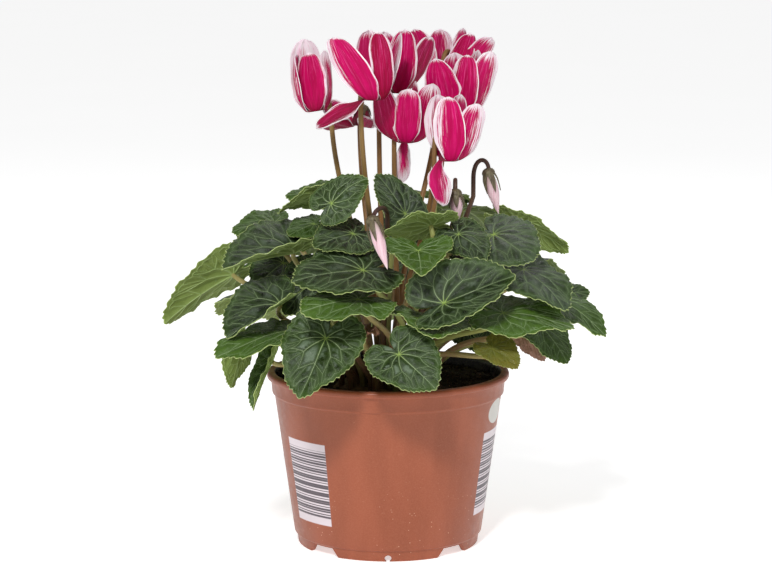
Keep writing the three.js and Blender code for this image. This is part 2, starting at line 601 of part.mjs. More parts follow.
function petalLine([length, , rise]) {
  const angle = THREE.MathUtils.degToRad(rise);
  const start = new THREE.Vector2(MOUTH_RADIUS - 0.9, 0.4);
  const reach = new THREE.Vector2(length * Math.cos(angle), length * Math.sin(angle));
  const tip = start.clone().add(reach).add(new THREE.Vector2(PETAL_OUT, 0));
  const bend = angle + PETAL_CURL;
  const curve = new THREE.CubicBezierCurve(
    start,
    start.clone().add(new THREE.Vector2(...PETAL_BEND)),
    tip.clone().sub(new THREE.Vector2(0.5 * length * Math.cos(bend), 0.5 * length * Math.sin(bend))),
    tip,
  );
  return curve;
}

function petalHalfWidth(t, width) {
  const swell = PETAL_FOOT + (1 - PETAL_FOOT) * THREE.MathUtils.smoothstep(t, 0.04, PETAL_WIDEST);
  const past = Math.max(0, (t - PETAL_WIDEST) / (1 - PETAL_WIDEST));
  return 0.5 * width * swell * Math.sqrt(Math.max(0.02, 1 - past ** PETAL_BLUNTNESS));
}

// A place on a petal's middle surface: t runs from the mouth to the tip, s from edge to edge.
function petalPoint(petal, azimuth, place, t, s) {
  const curve = petalLine(petal);
  const spot = curve.getPoint(t);
  const tangent = curve.getTangent(t);
  const [length, width, , turn, sweep] = petal;
  const twist = THREE.MathUtils.degToRad(turn) * THREE.MathUtils.smoothstep(t, 0, 0.6);
  const half = petalHalfWidth(t, width);
  const swept = length * Math.tan(THREE.MathUtils.degToRad(sweep)) * t * t * (1.5 - 0.5 * t);
  const across = s * half * Math.cos(twist) + swept;
  const out = s * half * Math.sin(twist) - PETAL_CUP * half * s * s;
  const r = spot.x + out * tangent.y;
  const z = spot.y - out * tangent.x;
  const x = r * Math.cos(azimuth) - across * Math.sin(azimuth);
  const y = r * Math.sin(azimuth) + across * Math.cos(azimuth);
  return place(x, y, z);
}

function petalNormal(petal, azimuth, place, t, s) {
  const step = 0.02;
  const low = Math.max(t, step);
  const along = petalPoint(petal, azimuth, place, Math.min(low + step, 1), s)
    .sub(petalPoint(petal, azimuth, place, low - step, s));
  const across = petalPoint(petal, azimuth, place, t, s + step)
    .sub(petalPoint(petal, azimuth, place, t, s - step));
  return across.cross(along).normalize();
}

function petalSolid(petal, azimuth, place) {
  const front = [];
  const back = [];
  for (const t of PETAL_ROWS) {
    const rowFront = [];
    const rowBack = [];
    for (let c = 0; c <= PETAL_COLUMNS; c += 1) {
      const s = -1 + (2 * c) / PETAL_COLUMNS;
      const normal = petalNormal(petal, azimuth, place, t, s);
      const middle = petalPoint(petal, azimuth, place, t, s);
      rowFront.push(middle.clone().addScaledVector(normal, PETAL / 2));
      rowBack.push(middle.clone().addScaledVector(normal, -PETAL / 2));
    }
    front.push(rowFront);
    back.push(rowBack);
  }
  return toSolid(sheetGeometry(front, back));
}

// A closed sheet from two like grids of points.
function sheetGeometry(front, back) {
  const points = [...front.flat(), ...back.flat()];
  const columns = front[0].length;
  const rows = front.length;
  const shift = rows * columns;
  const triangles = [];
  const quad = (a, b, c, d) => triangles.push([a, b, c], [a, c, d]);
  for (let r = 0; r < rows - 1; r += 1) {
    for (let c = 0; c < columns - 1; c += 1) {
      const a = r * columns + c;
      quad(a, a + 1, a + columns + 1, a + columns);
      triangles.push([a + shift, a + shift + columns + 1, a + shift + 1]);
      triangles.push([a + shift, a + shift + columns, a + shift + columns + 1]);
    }
  }
  for (let c = 0; c < columns - 1; c += 1) {
    const far = (rows - 1) * columns + c;
    quad(c, c + shift, c + 1 + shift, c + 1);
    quad(far, far + 1, far + 1 + shift, far + shift);
  }
  for (let r = 0; r < rows - 1; r += 1) {
    const a = r * columns;
    const b = a + columns - 1;
    quad(a, a + columns, a + columns + shift, a + shift);
    quad(b, b + shift, b + columns + shift, b + columns);
  }
  return fromTriangles(points, triangles);
}

function corollaSolid(petals, place) {
  const tube = placedLathe([
    [0, MOUTH_DEPTH], [MOUTH_RADIUS, -0.3], [MOUTH_RADIUS + 0.2, 2],
    [3, TUBE_HEIGHT - 1], [0, TUBE_HEIGHT - 1],
  ], TUBE_SIDES, place);
  const crown = petals.map((petal, k) => {
    const azimuth = THREE.MathUtils.degToRad(FIRST_PETAL + PETAL_SPACING * k);
    return petalSolid(petal, azimuth, place);
  });
  return joinAll([tube, ...crown]);
}

function spindleSolid(length, place) {
  return placedLathe([
    [0, -length], [BUD_RADIUS * 0.55, -length * 0.72], [BUD_RADIUS, -length * 0.34], [2.4, 0], [0, 0],
  ], CALYX_SIDES, place);
}

// ---- Assembly: each piece is bent clear of the ones before it ----
const placed = [];
const group = new THREE.Group();

function isClear(solid) {
  const box = solid.boundingBox();
  return placed.every((other) => {
    const apart = [0, 1, 2].some((i) => box.min[i] > other.box.max[i] || box.max[i] < other.box.min[i]);
    return apart || solid.intersect(other.solid).isEmpty();
  });
}

function addPiece(name, solid, material) {
  placed.push({ name, solid, box: solid.boundingBox() });
  const mesh = new THREE.Mesh(toGeometry(solid), new THREE.MeshStandardMaterial(material));
  mesh.name = name;
  group.add(mesh);
}

const POT_LOOK = { color: 0xb2623f, roughness: 0.45, metalness: 0 };
const SOIL_LOOK = { color: 0x2a1d16, roughness: 1, metalness: 0 };
const TUBER_LOOK = { color: 0x4a3526, roughness: 0.9, metalness: 0 };
const LEAF_LOOK = { color: 0x2f5a2c, roughness: 0.5, metalness: 0 };
const STALK_LOOK = { color: 0x7d5a3a, roughness: 0.5, metalness: 0 };
const PETAL_LOOK = { color: 0xc0145a, roughness: 0.55, metalness: 0 };
const BUD_LOOK = { color: 0xe1c3c8, roughness: 0.55, metalness: 0 };

// How far a stalk may be bent aside, in order of choice.
const SIDE_STEPS = [
  [0, 0], [3, 0], [-3, 0], [0, 4], [0, -4], [6, 4], [6, -4], [-6, 5], [-6, -5], [0, 9], [0, -9], [9, 9],
  [9, -9], [-9, 9], [-9, -9], [0, 16], [0, -16], [14, 0], [-14, 0], [14, 14], [14, -14], [-14, 14],
  [-14, -14],
];

function addStalk(name, place, calyxPlace, hook, distance) {
  const root = takeRoot(place(hook.reach, 0, 0), distance, STALK_RADIUS);
  const solids = SIDE_STEPS.map(([x, y]) => stalkSolid(place, calyxPlace, hook, root, { x, y }));
  addPiece(name, solids.find(isClear) ?? solids[0], STALK_LOOK);
}

for (const [name, mouth, lean, side, petals] of FLOWERS) {
  const place = standFrame(mouth, lean, side);
  addPiece(`corolla_${name}`, corollaSolid(petals, place), PETAL_LOOK);
}
for (const [name, mouth, lean, side] of FLOWERS) {
  const place = standFrame(mouth, lean, side);
  const hook = { reach: HOOK_RADIUS, rise: FLOWER_HOOK_RISE, calyxZ: CALYX_Z, slant: FLOWER_SLANT };
  addStalk(`flower_stalk_${name}`, place, place, hook, INNER_ROOT);
}
for (const [name, at, lean, side, length, reach, rise] of BUDS) {
  const budPlace = standFrame(at, lean, side);
  addPiece(`bud_${name}`, spindleSolid(length, budPlace), BUD_LOOK);
  const hook = { reach, rise, calyxZ: GAP, slant: 1 };
  addStalk(`bud_stalk_${name}`, standFrame(at, [0, 0, 1], side), budPlace, hook, BUD_ROOT);
}

function leafRootDistance(z) {
  const high = THREE.MathUtils.clamp((z - LOW_LEAF) / (HIGH_LEAF - LOW_LEAF), 0, 1);
  return THREE.MathUtils.lerp(OUTER_ROOT, INNER_ROOT + 4, high);
}

// The first of the set places in which the leaf is clear of every piece before it.
function clearLeaf(row, root, branches) {
  for (const slide of SLIDES) {
    for (const lift of LIFTS) {
      const leaf = makeLeaf(row, lift, slide);
      if (isClear(bladeSolid(leaf))) {
        const solids = SWAYS.map((sway) => leafSolid(leaf, root, sway, branches));
        const clear = solids.find(isClear);
        if (clear) {
          return clear;
        }
      }
    }
  }
  return leafSolid(makeLeaf(row, 0, 0), root, 0, branches);
}

function addLeaves(node, root) {
  const rows = LEAVES.filter((row) => row[0] === node);
  const solids = rows.map((row, k) => clearLeaf(row, root, k > 0));
  addPiece(node, joinAll(solids), LEAF_LOOK);
}

// From the lowest leaf up, so that the low ones take the outer roots.
const lowFirst = [...LEAVES].sort((one, other) => one[1][2] - other[1][2]);
const leafRoots = new Map();
for (const [node, attach] of lowFirst) {
  if (!leafRoots.has(node)) {
    const towards = new THREE.Vector3(...attach);
    leafRoots.set(node, takeRoot(towards, leafRootDistance(towards.z), PETIOLE_FOOT_RADIUS));
  }
}
for (const [node, root] of leafRoots) {
  addLeaves(node, root);
}

addPiece('tuber', tuberSolid(roots), TUBER_LOOK);
addPiece('growing_medium', soilSolid(), SOIL_LOOK);
addPiece('pot', potSolid(), POT_LOOK);

export default group;
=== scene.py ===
import math

import bpy
import numpy as np
from mathutils import Euler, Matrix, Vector


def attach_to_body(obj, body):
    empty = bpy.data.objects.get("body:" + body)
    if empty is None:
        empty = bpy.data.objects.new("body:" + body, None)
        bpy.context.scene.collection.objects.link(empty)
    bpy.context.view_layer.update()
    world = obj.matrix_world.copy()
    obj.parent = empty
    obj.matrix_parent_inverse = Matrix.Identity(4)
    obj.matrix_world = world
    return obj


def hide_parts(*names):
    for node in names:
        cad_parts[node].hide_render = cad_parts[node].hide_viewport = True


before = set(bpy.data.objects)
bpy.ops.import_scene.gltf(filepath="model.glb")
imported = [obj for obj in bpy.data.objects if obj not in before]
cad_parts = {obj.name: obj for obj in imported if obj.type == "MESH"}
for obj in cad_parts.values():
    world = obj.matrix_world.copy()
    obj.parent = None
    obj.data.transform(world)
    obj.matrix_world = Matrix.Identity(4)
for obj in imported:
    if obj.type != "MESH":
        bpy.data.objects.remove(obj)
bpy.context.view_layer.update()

MM = 0.001
RNG_SEED = 20
ROOT_Z, ROOT_DEPTH, BRANCH_DEPTH = 83.5, 10, 3
BLADE, NECK = 0.8, 0.035
PETIOLE_FOOT, BRANCH_RADIUS = 1.7, 1.25
WAVES = 5
# Half of the heart outline from the tip to the notch, in blade lengths: along and across.
HALF_OUTLINE = np.array([
    [1, 0], [0.86, 0.22], [0.58, 0.43], [0.24, 0.57], [-0.1, 0.58], [-0.34, 0.47], [-0.45, 0.26],
    [-0.36, 0.08], [-0.14, 0],
], float)
# Lifts and slides (mm) that the solid of a leaf may have.
LIFTS = [0, 1.5, 3, 4.5, 6, 8, 10, 12, -2, -4, -6, -8]
SLIDES = [0, 4, -4, 8]
SWAYS = [0, 4, -4, 8, -8, 12, -12, 17, -17, 22, -22, 28, -28]
SIDE_STEPS = [
    [0, 0], [3, 0], [-3, 0], [0, 4], [0, -4], [6, 4], [6, -4], [-6, 5], [-6, -5], [0, 9], [0, -9], [9, 9],
    [9, -9], [-9, 9], [-9, -9], [0, 16], [0, -16], [14, 0], [-14, 0], [14, 14], [14, -14], [-14, 14],
    [-14, -14],
]

STALK_RADIUS, STALK_CLEAR = 1.25, 11
MOUTH_RADIUS, TUBE_HEIGHT = 4.6, 8
CALYX_Z = TUBE_HEIGHT - 0.7
HOOK_RADIUS, FLOWER_HOOK_RISE, FLOWER_SLANT = 7.2, 9, 0.2
BUD_RADIUS, BUD_GAP = 3.6, 0.3
FIRST_PETAL, PETAL_SPACING = 46, 67
PETAL_CURL, PETAL_FOOT, PETAL_WIDEST, PETAL_BLUNTNESS, PETAL_CUP = 0.12, 0.26, 0.62, 3, 0.14
PETAL_BEND, PETAL_OUT = [4.2, -3.2], 1.2


def leaf_row(node, attach, tip, face, phase, look, width=1, cup=0.1, left=0, right=0, droop=0.1, wave=0.04):
    """A leaf: its node, attachment, tip, the way the upper face looks, the phase of its waves and its look.

    Then width, cup, fold of the left and right half (degrees), droop and height of the waves.
    """
    return [node, attach, tip, face, width, cup, left, right, droop, wave, phase, look]


LEAVES = [
    leaf_row("leaf_far_left", [-76, 5, 132], [-109.5, -5, 109], [-0.35, 0.8, 0.45], 0, "mid", width=0.8,
             right=35, wave=0.03),
    leaf_row("leaf_left_folded", [-46, -28, 147], [-79, -46, 140], [-0.1, -0.75, 0.65], 1, "dark",
             width=1.05, left=66, wave=0.03),
    leaf_row("leaf_left_low", [-54, -46, 118], [-78, -66, 104], [-0.35, -0.8, 0.5], 2, "dark", width=1.1,
             cup=0.05, left=55),
    leaf_row("leaf_left_under", [-47, -52, 114], [-80, -78, 106], [-0.1, -0.25, 0.96], 3, "bright",
             width=0.7, droop=0.15),
    leaf_row("leaf_drooping", [-70, -30, 104], [-76, -38, 84], [-0.75, 0.6, 0.15], 4, "mid", width=0.9,
             left=10, right=10, droop=0, wave=0.03),
    leaf_row("leaf_curled", [-55, -50, 99], [-64, -62, 78], [-0.6, -0.6, 0.3], 5, "mid", width=0.5, cup=0,
             left=55, right=45, wave=0.03),
    leaf_row("leaf_front_left", [-29, -72, 114], [-41, -93, 90], [-0.1, -0.95, 0.3], 6, "silver",
             width=0.95, cup=0.12, left=15, wave=0.03),
    leaf_row("leaf_front_low", [5, -80, 108], [22, -94, 94], [0.1, -0.8, 0.5], 7, "silver", width=1.1,
             left=10, right=10, droop=0, wave=0.03),
    leaf_row("leaf_mid_left", [-12, -60, 143], [-45, -73, 138], [-0.05, -0.6, 0.8], 8, "dark", width=1.05,
             cup=0.14, left=18),
    leaf_row("leaf_mid_under", [-14, -70, 132], [-40, -88, 128], [0, -0.3, 0.95], 9, "bright", wave=0.06),
    leaf_row("leaf_top_left", [-21, -13, 179], [-51, -20, 170], [-0.2, 0.5, 0.84], 10, "mid", width=0.7),
    leaf_row("leaf_silver", [-25, -36, 170], [-8, -33, 182], [-0.35, -0.75, 0.55], 11, "veined", wave=0.03),
    leaf_row("leaf_behind_bud", [-20, -44, 157], [-38, -57, 152], [-0.1, -0.6, 0.8], 12, "dark", width=1.1,
             wave=0.03),
    leaf_row("leaves_left_back", [-57, 6, 158], [-77, 1, 154], [-0.3, -0.6, 0.74], 13, "mid", cup=0.15),
    leaf_row("leaves_left_back", [-36, -14, 159], [-48, -24, 154], [-0.2, -0.6, 0.8], 14, "mid"),
    leaf_row("leaf_top_upright", [8, -35, 168], [-6, -28, 186], [0.45, -0.7, 0.55], 15, "dark", width=0.8,
             right=25, wave=0.03),
    leaf_row("leaf_top_middle", [20, -48, 164], [-4, -58, 162], [0, 0.6, 0.8], 16, "mid", width=0.95,
             wave=0.05),
    leaf_row("leaf_butterfly", [14, -64, 154], [15, -87, 147], [0, -0.3, 0.95], 17, "bright", width=1.15,
             cup=-0.1, left=12, right=12, droop=0.15, wave=0.05),
    leaf_row("leaf_right_large", [26, -74, 131], [59, -72, 144], [0.05, -0.97, 0.25], 18, "dark",
             width=0.92, cup=0.14, right=55, wave=0.03),
    leaf_row("leaf_right_under", [21, -62, 121], [25, -90, 117], [0.15, -0.2, 0.97], 19, "bright",
             width=1.2, cup=0.05, left=8, right=8, wave=0.06),
    leaf_row("leaves_right_high", [50, -44, 159], [68, -62, 148], [0.3, -0.8, 0.52], 20, "grey", width=1.2,
             cup=0.16, wave=0.03),
    leaf_row("leaves_right_high", [42, -32, 154], [33, -49, 144], [0, -0.7, 0.7], 45, "dark"),
    leaf_row("leaf_right_back", [62, 2, 159], [89, 4, 143], [0.3, 0.6, 0.74], 21, "mid", width=0.7,
             cup=0.15),
    leaf_row("leaf_right_mid", [64, -50, 143], [82, -72, 127], [0.45, -0.6, 0.65], 22, "grey", width=1.05,
             cup=0.12),
    leaf_row("leaf_right_bright", [54, -63, 124.5], [87, -68, 119], [0.1, -0.4, 0.9], 23, "bright",
             width=0.9, droop=0.15, wave=0.05),
    leaf_row("leaves_far_right", [82, -10, 123], [107, -16, 106], [0.45, -0.4, 0.8], 24, "mid", width=0.9,
             cup=0.12, droop=0.15),
    leaf_row("leaves_far_right", [82, 22, 118], [102, 26, 121], [0.1, -0.5, 0.85], 25, "dark", width=0.9),
    leaf_row("leaves_right_low", [74, -36, 113], [85, -46, 97], [0.4, -0.6, 0.6], 26, "mid"),
    leaf_row("leaf_yellow", [49, -66, 108], [60, -76, 100], [0.3, -0.75, 0.6], 27, "yellow", left=15,
             right=15, wave=0.03),
    leaf_row("leaves_right_low", [67, -22, 108], [76, -27, 95], [0.3, -0.8, 0.3], 28, "old", width=0.8,
             wave=0.02),
    leaf_row("leaf_dead", [-12, -54, 113], [-27, -62, 110], [0, -0.4, 0.9], 29, "dead", width=0.6, cup=0,
             left=30, right=20),
    leaf_row("leaves_back_1", [-50, 38, 154], [-78, 54, 142], [-0.4, 0.3, 0.87], 30, "dark", cup=0.12),
    leaf_row("leaves_back_1", [-62, 42, 122], [-88, 58, 104], [-0.5, 0.4, 0.77], 31, "mid", cup=0.12),
    leaf_row("leaves_back_2", [-32, 56, 146], [-46, 86, 130], [-0.3, 0.6, 0.74], 32, "silver", cup=0.12),
    leaf_row("leaves_back_2", [-44, 62, 112], [-62, 90, 94], [-0.4, 0.7, 0.6], 33, "bright", cup=0.12),
    leaf_row("leaves_back_3", [2, 62, 144], [4, 96, 126], [0, 0.7, 0.7], 34, "dark", cup=0.12),
    leaf_row("leaves_back_3", [-8, 70, 108], [-12, 98, 88], [-0.05, 0.8, 0.6], 35, "mid", cup=0.12),
    leaf_row("leaves_back_3", [10, 50, 146], [12, 38, 118], [0, -0.9, 0.4], 44, "dark", width=1.2),
    leaf_row("leaves_back_4", [36, 52, 148], [52, 82, 134], [0.3, 0.6, 0.74], 36, "veined", cup=0.12),
    leaf_row("leaves_back_4", [38, 66, 112], [52, 94, 94], [0.35, 0.7, 0.6], 37, "bright", cup=0.12),
    leaf_row("leaves_back_4", [38, 42, 108], [44, 26, 90], [0.1, -0.9, 0.35], 47, "dark"),
    leaf_row("leaves_back_5", [62, 34, 138], [92, 48, 124], [0.5, 0.4, 0.77], 38, "dark", cup=0.12),
    leaf_row("leaves_back_5", [24, 34, 168], [40, 54, 160], [0.3, 0.5, 0.81], 40, "bright"),
    leaf_row("leaves_back_5", [52, 30, 108], [60, 18, 90], [0.2, -0.9, 0.3], 46, "dark"),
    leaf_row("leaf_back_6", [-28, 14, 171], [-51, 16, 170], [-0.1, -0.5, 0.85], 39, "mid", width=0.9),
    leaf_row("leaves_inner_1", [-52, 8, 138], [-66, -8, 128], [-0.2, -0.85, 0.5], 41, "dark"),
    leaf_row("leaves_inner_1", [-36, -12, 130], [-50, -24, 114], [-0.1, -0.85, 0.5], 42, "dark"),
    leaf_row("leaf_top_right", [28, -46, 164], [41, -58, 154], [0.1, -0.75, 0.65], 43, "dark"),
]

# Look of a leaf: brightness of the green, silver between the veins, painted grey sheen (a reflection of the
# white surroundings painted into the colour), yellowing, browning and paleness of the veins.
LOOKS = {
    "dark": (0.10, 0.50, 0.10, 0.0, 0.0, 0.72),
    "grey": (0.16, 0.40, 0.80, 0.0, 0.0, 0.50),
    "mid": (0.50, 0.35, 0.05, 0.0, 0.0, 0.70),
    "bright": (0.85, 0.25, 0.00, 0.0, 0.0, 0.85),
    "silver": (0.22, 1.00, 0.10, 0.0, 0.0, 0.85),
    "veined": (0.25, 0.70, 0.10, 0.0, 0.0, 1.00),
    "yellow": (0.80, 0.10, 0.00, 0.85, 0.0, 0.60),
    "old": (0.95, 0.00, 0.10, 0.0, 0.90, 0.45),
    "dead": (0.30, 0.00, 0.00, 0.0, 1.0, 0.30),
}

# Flowers: name, mouth, lean, the side of the stalk (degrees), five petals of length, width, rise, twist and
# sweep, and the look of each: white on its one side and on the other (shares of the width), how dark it is
# painted for the shade it lies in, and white at the tip.
FLOWERS = [
    ["a", [-35, -4, 215], [-0.16, 0, 0.98], 20,
     [[28, 13, 80, 15, 12], [34, 17, 88, 25, -8], [28, 15, 86, 25, 8],
      [28, 15, 84, 15, 3], [28, 9, 80, 20, 0]],
     [[0.1, 0.1, 0.6, 0.05], [0.7, 0.3, 0, 0.45], [0.12, 0.1, 0.2, 0.05], [0.07, 0.09, 0.35, 0.05],
      [0.8, 0.3, 0.3, 0.3]]],
    ["b", [-7, -19, 221.5], [0, -0.05, 1], 150,
     [[27, 16, -30, 15, 0], [30, 19, 82, 12, -30], [33, 11, 84, 55, -16],
      [32, 16, 71, 20, -3], [32, 16, 84, 30, 0]],
     [[0.1, 0.3, 0.9, 0.08], [0.26, 0.06, 0.1, 0.03], [0.1, 0.08, 0.75, 0.03], [0.6, 0.1, 0.15, 0.15],
      [0.1, 0.1, 0.4, 0.1]]],
    ["c", [2.8, 16, 222.3], [0.05, 0, 1], 180,
     [[28, 14, 80, -20, -4], [31, 15, 84, 35, 2], [30, 17, 66, 35, 0],
      [28, 15, 80, 20, 0], [29, 15, 82, 30, 0]],
     [[0.22, 0.08, 0.25, 0.08], [0.1, 0.16, 0.25, 0.06], [0.1, 0.1, 0.5, 0.05], [0.45, 0.1, 0.1, 0.15],
      [0.15, 0.15, 0.2, 0.1]]],
    ["d", [9.2, -3.5, 199.7], [0, -0.05, 1], 150,
     [[28, 17, 72, -40, 0], [27, 15, 78, 15, 4], [30, 16, 72, 40, 0],
      [28, 14, 80, 20, 12], [22, 9, -82, 20, 0]],
     [[0.08, 0.12, 0.55, 0.05], [0.16, 0.1, 0.05, 0.12], [0.1, 0.5, 0.2, 0.2], [0.1, 0.1, 0.4, 0.1],
      [0.4, 0.4, 0.1, 0.4]]],
    ["e", [30, 40, 227.3], [0.1, 0, 1], 240,
     [[24, 12, 80, 10, 15], [27, 17, 56, 45, 0], [26, 14, 76, 25, 0],
      [24, 14, 78, 25, 0], [26, 15, 60, -30, -15]],
     [[0.1, 0.1, 0.4, 0.05], [0.08, 0.4, 0.1, 0.16], [0.1, 0.2, 0.3, 0.1], [0.35, 0.1, 0.3, 0.1],
      [0.08, 0.12, 0.1, 0.05]]],
    ["f", [35, -3, 213], [0.06, 0, 1], 160,
     [[28, 17, 68, -40, 0], [29, 15, 82, 30, 2], [32, 17, 74, 30, 0],
      [31, 16, 80, 25, 0], [29, 15, 80, 20, 0]],
     [[0.12, 0.1, 0.1, 0.06], [0.22, 0.08, 0.3, 0.03], [0.1, 0.45, 0.2, 0.12], [0.1, 0.1, 0.2, 0.15],
      [0.1, 0.1, 0.3, 0.15]]],
    ["g", [29, -31, 193.5], [0, -0.05, 1], 165,
     [[21, 14, -72, 15, 32], [31, 15, 82, 20, -4], [28, 16, 72, 45, 0],
      [30, 15, 82, 20, 0], [30, 14, 78, 20, 0]],
     [[0.06, 0.5, 0.05, 0.1], [0.36, 0.06, 0.05, 0.06], [0.15, 0.6, 0.1, 0.15], [0.1, 0.1, 0.3, 0.1],
      [0.2, 0.5, 0.2, 0.15]]],
    ["h", [-13, 32, 205], [0, 0, 1], 100,
     [[20, 14, 30, 20, 0], [18, 16, 2, -20, 0], [18, 10, 15, 25, 0],
      [25, 14, -6, 50, 0], [24, 13, 8, 20, 0]],
     [[0.1, 0.1, 0.6, 0.1], [0.08, 0.1, 0.8, 0.05], [0.1, 0.2, 0.6, 0.1], [0.4, 0.08, 0.2, 0.1],
      [0.1, 0.1, 0.5, 0.1]]],
]
# Buds: name, calyx, lean of the spindle, the side of the stalk, length, reach and rise of the hook.
BUDS = [
    ["right", [49, -8, 184], [-0.25, 0, 1], 180, 20, 7.5, 9],
    ["middle", [32, -36, 177], [-0.1, 0, 1], 90, 13, 7.5, 9],
    ["front", [-7, -76, 169], [-0.28, 0.45, 0.85], 78, 24, 32, 6],
]


# ---------------------------------------------------------------- camera and light
# Camera: sensor (mm), width of the picture and focal length (pixels), place (metres) and dip (degrees).
SENSOR_WIDTH, PICTURE_WIDTH, FOCAL_PIXELS = 36, 772, 2400
CAMERA_PLACE, CAMERA_DIP = (-0.001, -1.17, 0.306), 8.74


def make_camera():
    data = bpy.data.cameras.new("camera")
    data.sensor_width = SENSOR_WIDTH
    data.lens = FOCAL_PIXELS / PICTURE_WIDTH * SENSOR_WIDTH
    data.clip_start, data.clip_end = 0.01, 20
    camera = bpy.data.objects.new("camera", data)
    bpy.context.scene.collection.objects.link(camera)
    camera.location = CAMERA_PLACE
    camera.rotation_euler = Euler((math.radians(90 - CAMERA_DIP), 0, 0))
    bpy.context.scene.camera = camera


def area_light(name, place, aim, size, power):
    data = bpy.data.lights.new(name, "AREA")
    data.shape, data.size, data.energy = "DISK", size, power
    light = bpy.data.objects.new(name, data)
    bpy.context.scene.collection.objects.link(light)
    light.location = place
    light.rotation_euler = (Vector(aim) - Vector(place)).to_track_quat("-Z", "Y").to_euler()


# ---------------------------------------------------------------- shader nodes
def new_material(name):
    material = bpy.data.materials.new(name)
    material.use_nodes = True
    material.node_tree.nodes.clear()
    return material, Shader(material.node_tree)


class Shader:
    """Short names for the nodes that the materials below are made of."""

    def __init__(self, tree):
        self.tree = tree

    def node(self, kind, inputs=(), **settings):
        made = self.tree.nodes.new("ShaderNode" + kind)
        for key, value in settings.items():
            setattr(made, key, value)
        for key, value in dict(inputs).items():
            self.put(made.inputs[key], value)
        return made

    def put(self, socket, value):
        if isinstance(value, bpy.types.NodeSocket):
            self.tree.links.new(value, socket)
        elif socket.type == "RGBA" and len(value) == 3:
            socket.default_value = (*value, 1)
        else:
            socket.default_value = value

    def math(self, operation, a, b=0.0, clamp=False):
        made = self.node("Math", {0: a, 1: b}, operation=operation, use_clamp=clamp)
        return made.outputs[0]

    def plus(self, a, b, clamp=False):
        return self.math("ADD", a, b, clamp=clamp)

    def minus(self, a, b):
        return self.math("SUBTRACT", a, b)

    def times(self, a, b):
        return self.math("MULTIPLY", a, b)

    def place(self):
        """The point on the object itself, in metres."""
        return self.node("TexCoord").outputs["Object"]

    def vector(self, x, y, z):
        return self.node("CombineXYZ", {0: x, 1: y, 2: z}).outputs[0]

    def mix(self, factor, a, b):
        made = self.node("Mix", data_type="RGBA", blend_type="MIX")
        for key, value in ((0, factor), (6, a), (7, b)):
            self.put(made.inputs[key], value)
        return made.outputs[2]

    def smooth(self, value, low, high, out_low=0.0, out_high=1.0):
        made = self.node("MapRange", {0: value, 1: low, 2: high, 3: out_low, 4: out_high},
                         interpolation_type="SMOOTHSTEP")
        return made.outputs[0]

    def noise(self, vector, scale, detail=2.0, rough=0.5):
        made = self.node("TexNoise", {"Vector": vector, "Scale": scale, "Detail": detail, "Roughness": rough})
        return made.outputs["Fac"]

    def cells(self, vector, scale):
        made = self.node("TexVoronoi", {"Vector": vector, "Scale": scale}, feature="F1")
        return made.outputs["Distance"]

    def stretch(self, vector, scale):
        return self.node("Mapping", {"Vector": vector, "Scale": scale}).outputs[0]

    def attribute(self, name):
        return self.node("Attribute", attribute_name=name)

    def parts(self, colour):
        return self.node("SeparateColor", {0: colour}).outputs

    def bump(self, height, strength, distance):
        made = self.node("Bump", {"Height": height, "Strength": strength, "Distance": distance})
        return made.outputs[0]

    def finish(self, colour, roughness, normal=None, **sockets):
        shader = self.node("BsdfPrincipled", {"Base Color": colour, "Roughness": roughness})
        for key, value in sockets.items():
            self.put(shader.inputs[key.replace("_", " ")], value)
        if normal is not None:
            self.put(shader.inputs["Normal"], normal)
        output = self.node("OutputMaterial")
        self.tree.links.new(shader.outputs[0], output.inputs[0])


def srgb(red, green, blue):
    """Linear colour of 0 to 255 display values."""
    values = []
    for value in (red, green, blue):
        share = value / 255
        values.append(share / 12.92 if share <= 0.04045 else ((share + 0.055) / 1.055) ** 2.4)
    return tuple(values)


def leaf_tint(s, green, look, more):
    """Yellowing and browning of a leaf's colour."""
    tone = s.parts(look.outputs["Color"])
    extra = s.parts(more.outputs["Color"])
    patches = s.noise(s.place(), 90, 3, 0.6)
    yellow = s.times(extra[0], s.smooth(patches, 0.25, 0.6, 0.6, 1.0))
    brown = s.times(extra[1], s.smooth(patches, 0.3, 0.6, 0.75, 1.0))
    aged = s.mix(yellow, green, srgb(122, 112, 44))
    dead = s.mix(tone[0], srgb(132, 84, 60), srgb(178, 132, 120))
    return s.mix(brown, aged, dead)


def leaf_top_material():
    material, s = new_material("leaf_top")
    look, more, field = s.attribute("look"), s.attribute("more"), s.attribute("field")
    tone, silver, sheen = s.parts(look.outputs["Color"])[:3]
    near, rim, cell = s.parts(field.outputs["Color"])[:3]
    place = s.place()
    mottle = s.noise(place, 260, 5, 0.65)
    broad = s.noise(place, 55, 3, 0.5)
    bright = s.plus(tone, s.smooth(mottle, 0.3, 0.7, -0.14, 0.14))
    bright = s.plus(bright, s.smooth(rim, 0.8, 0.97, 0.0, 0.3), clamp=True)
    green = s.mix(bright, srgb(14, 25, 5), srgb(72, 102, 30))
    # Painted sheen: a grey veil, the reflection of the white surroundings, is painted into the green by the
    # look's sheen share.
    painted_sheen = s.times(sheen, s.smooth(broad, 0.35, 0.65, 0.1, 0.6))
    green = s.mix(painted_sheen, green, srgb(74, 86, 74))
    band = s.times(s.smooth(rim, 0.14, 0.34), s.smooth(rim, 0.9, 0.62))
    blotch = s.smooth(s.noise(place, 120, 4, 0.6), 0.46, 0.6)
    blotch = s.times(blotch, s.smooth(cell, 0.2, 0.6))
    shine = s.times(s.times(band, blotch), silver)
    green = s.mix(s.times(shine, 0.62), green, srgb(124, 142, 118))
    green = s.mix(s.times(near, 0.34), green, srgb(112, 134, 92))
    green = s.mix(s.smooth(rim, 0.985, 0.999), green, srgb(162, 178, 112))
    grain = s.cells(place, 2200)
    height = s.plus(s.times(grain, 0.5), s.times(mottle, 0.9))
    rough = s.smooth(mottle, 0.3, 0.7, 0.24, 0.38)
    s.finish(leaf_tint(s, green, look, more), rough, s.bump(height, 0.5, 0.0007), Specular_IOR_Level=0.3)
    return material


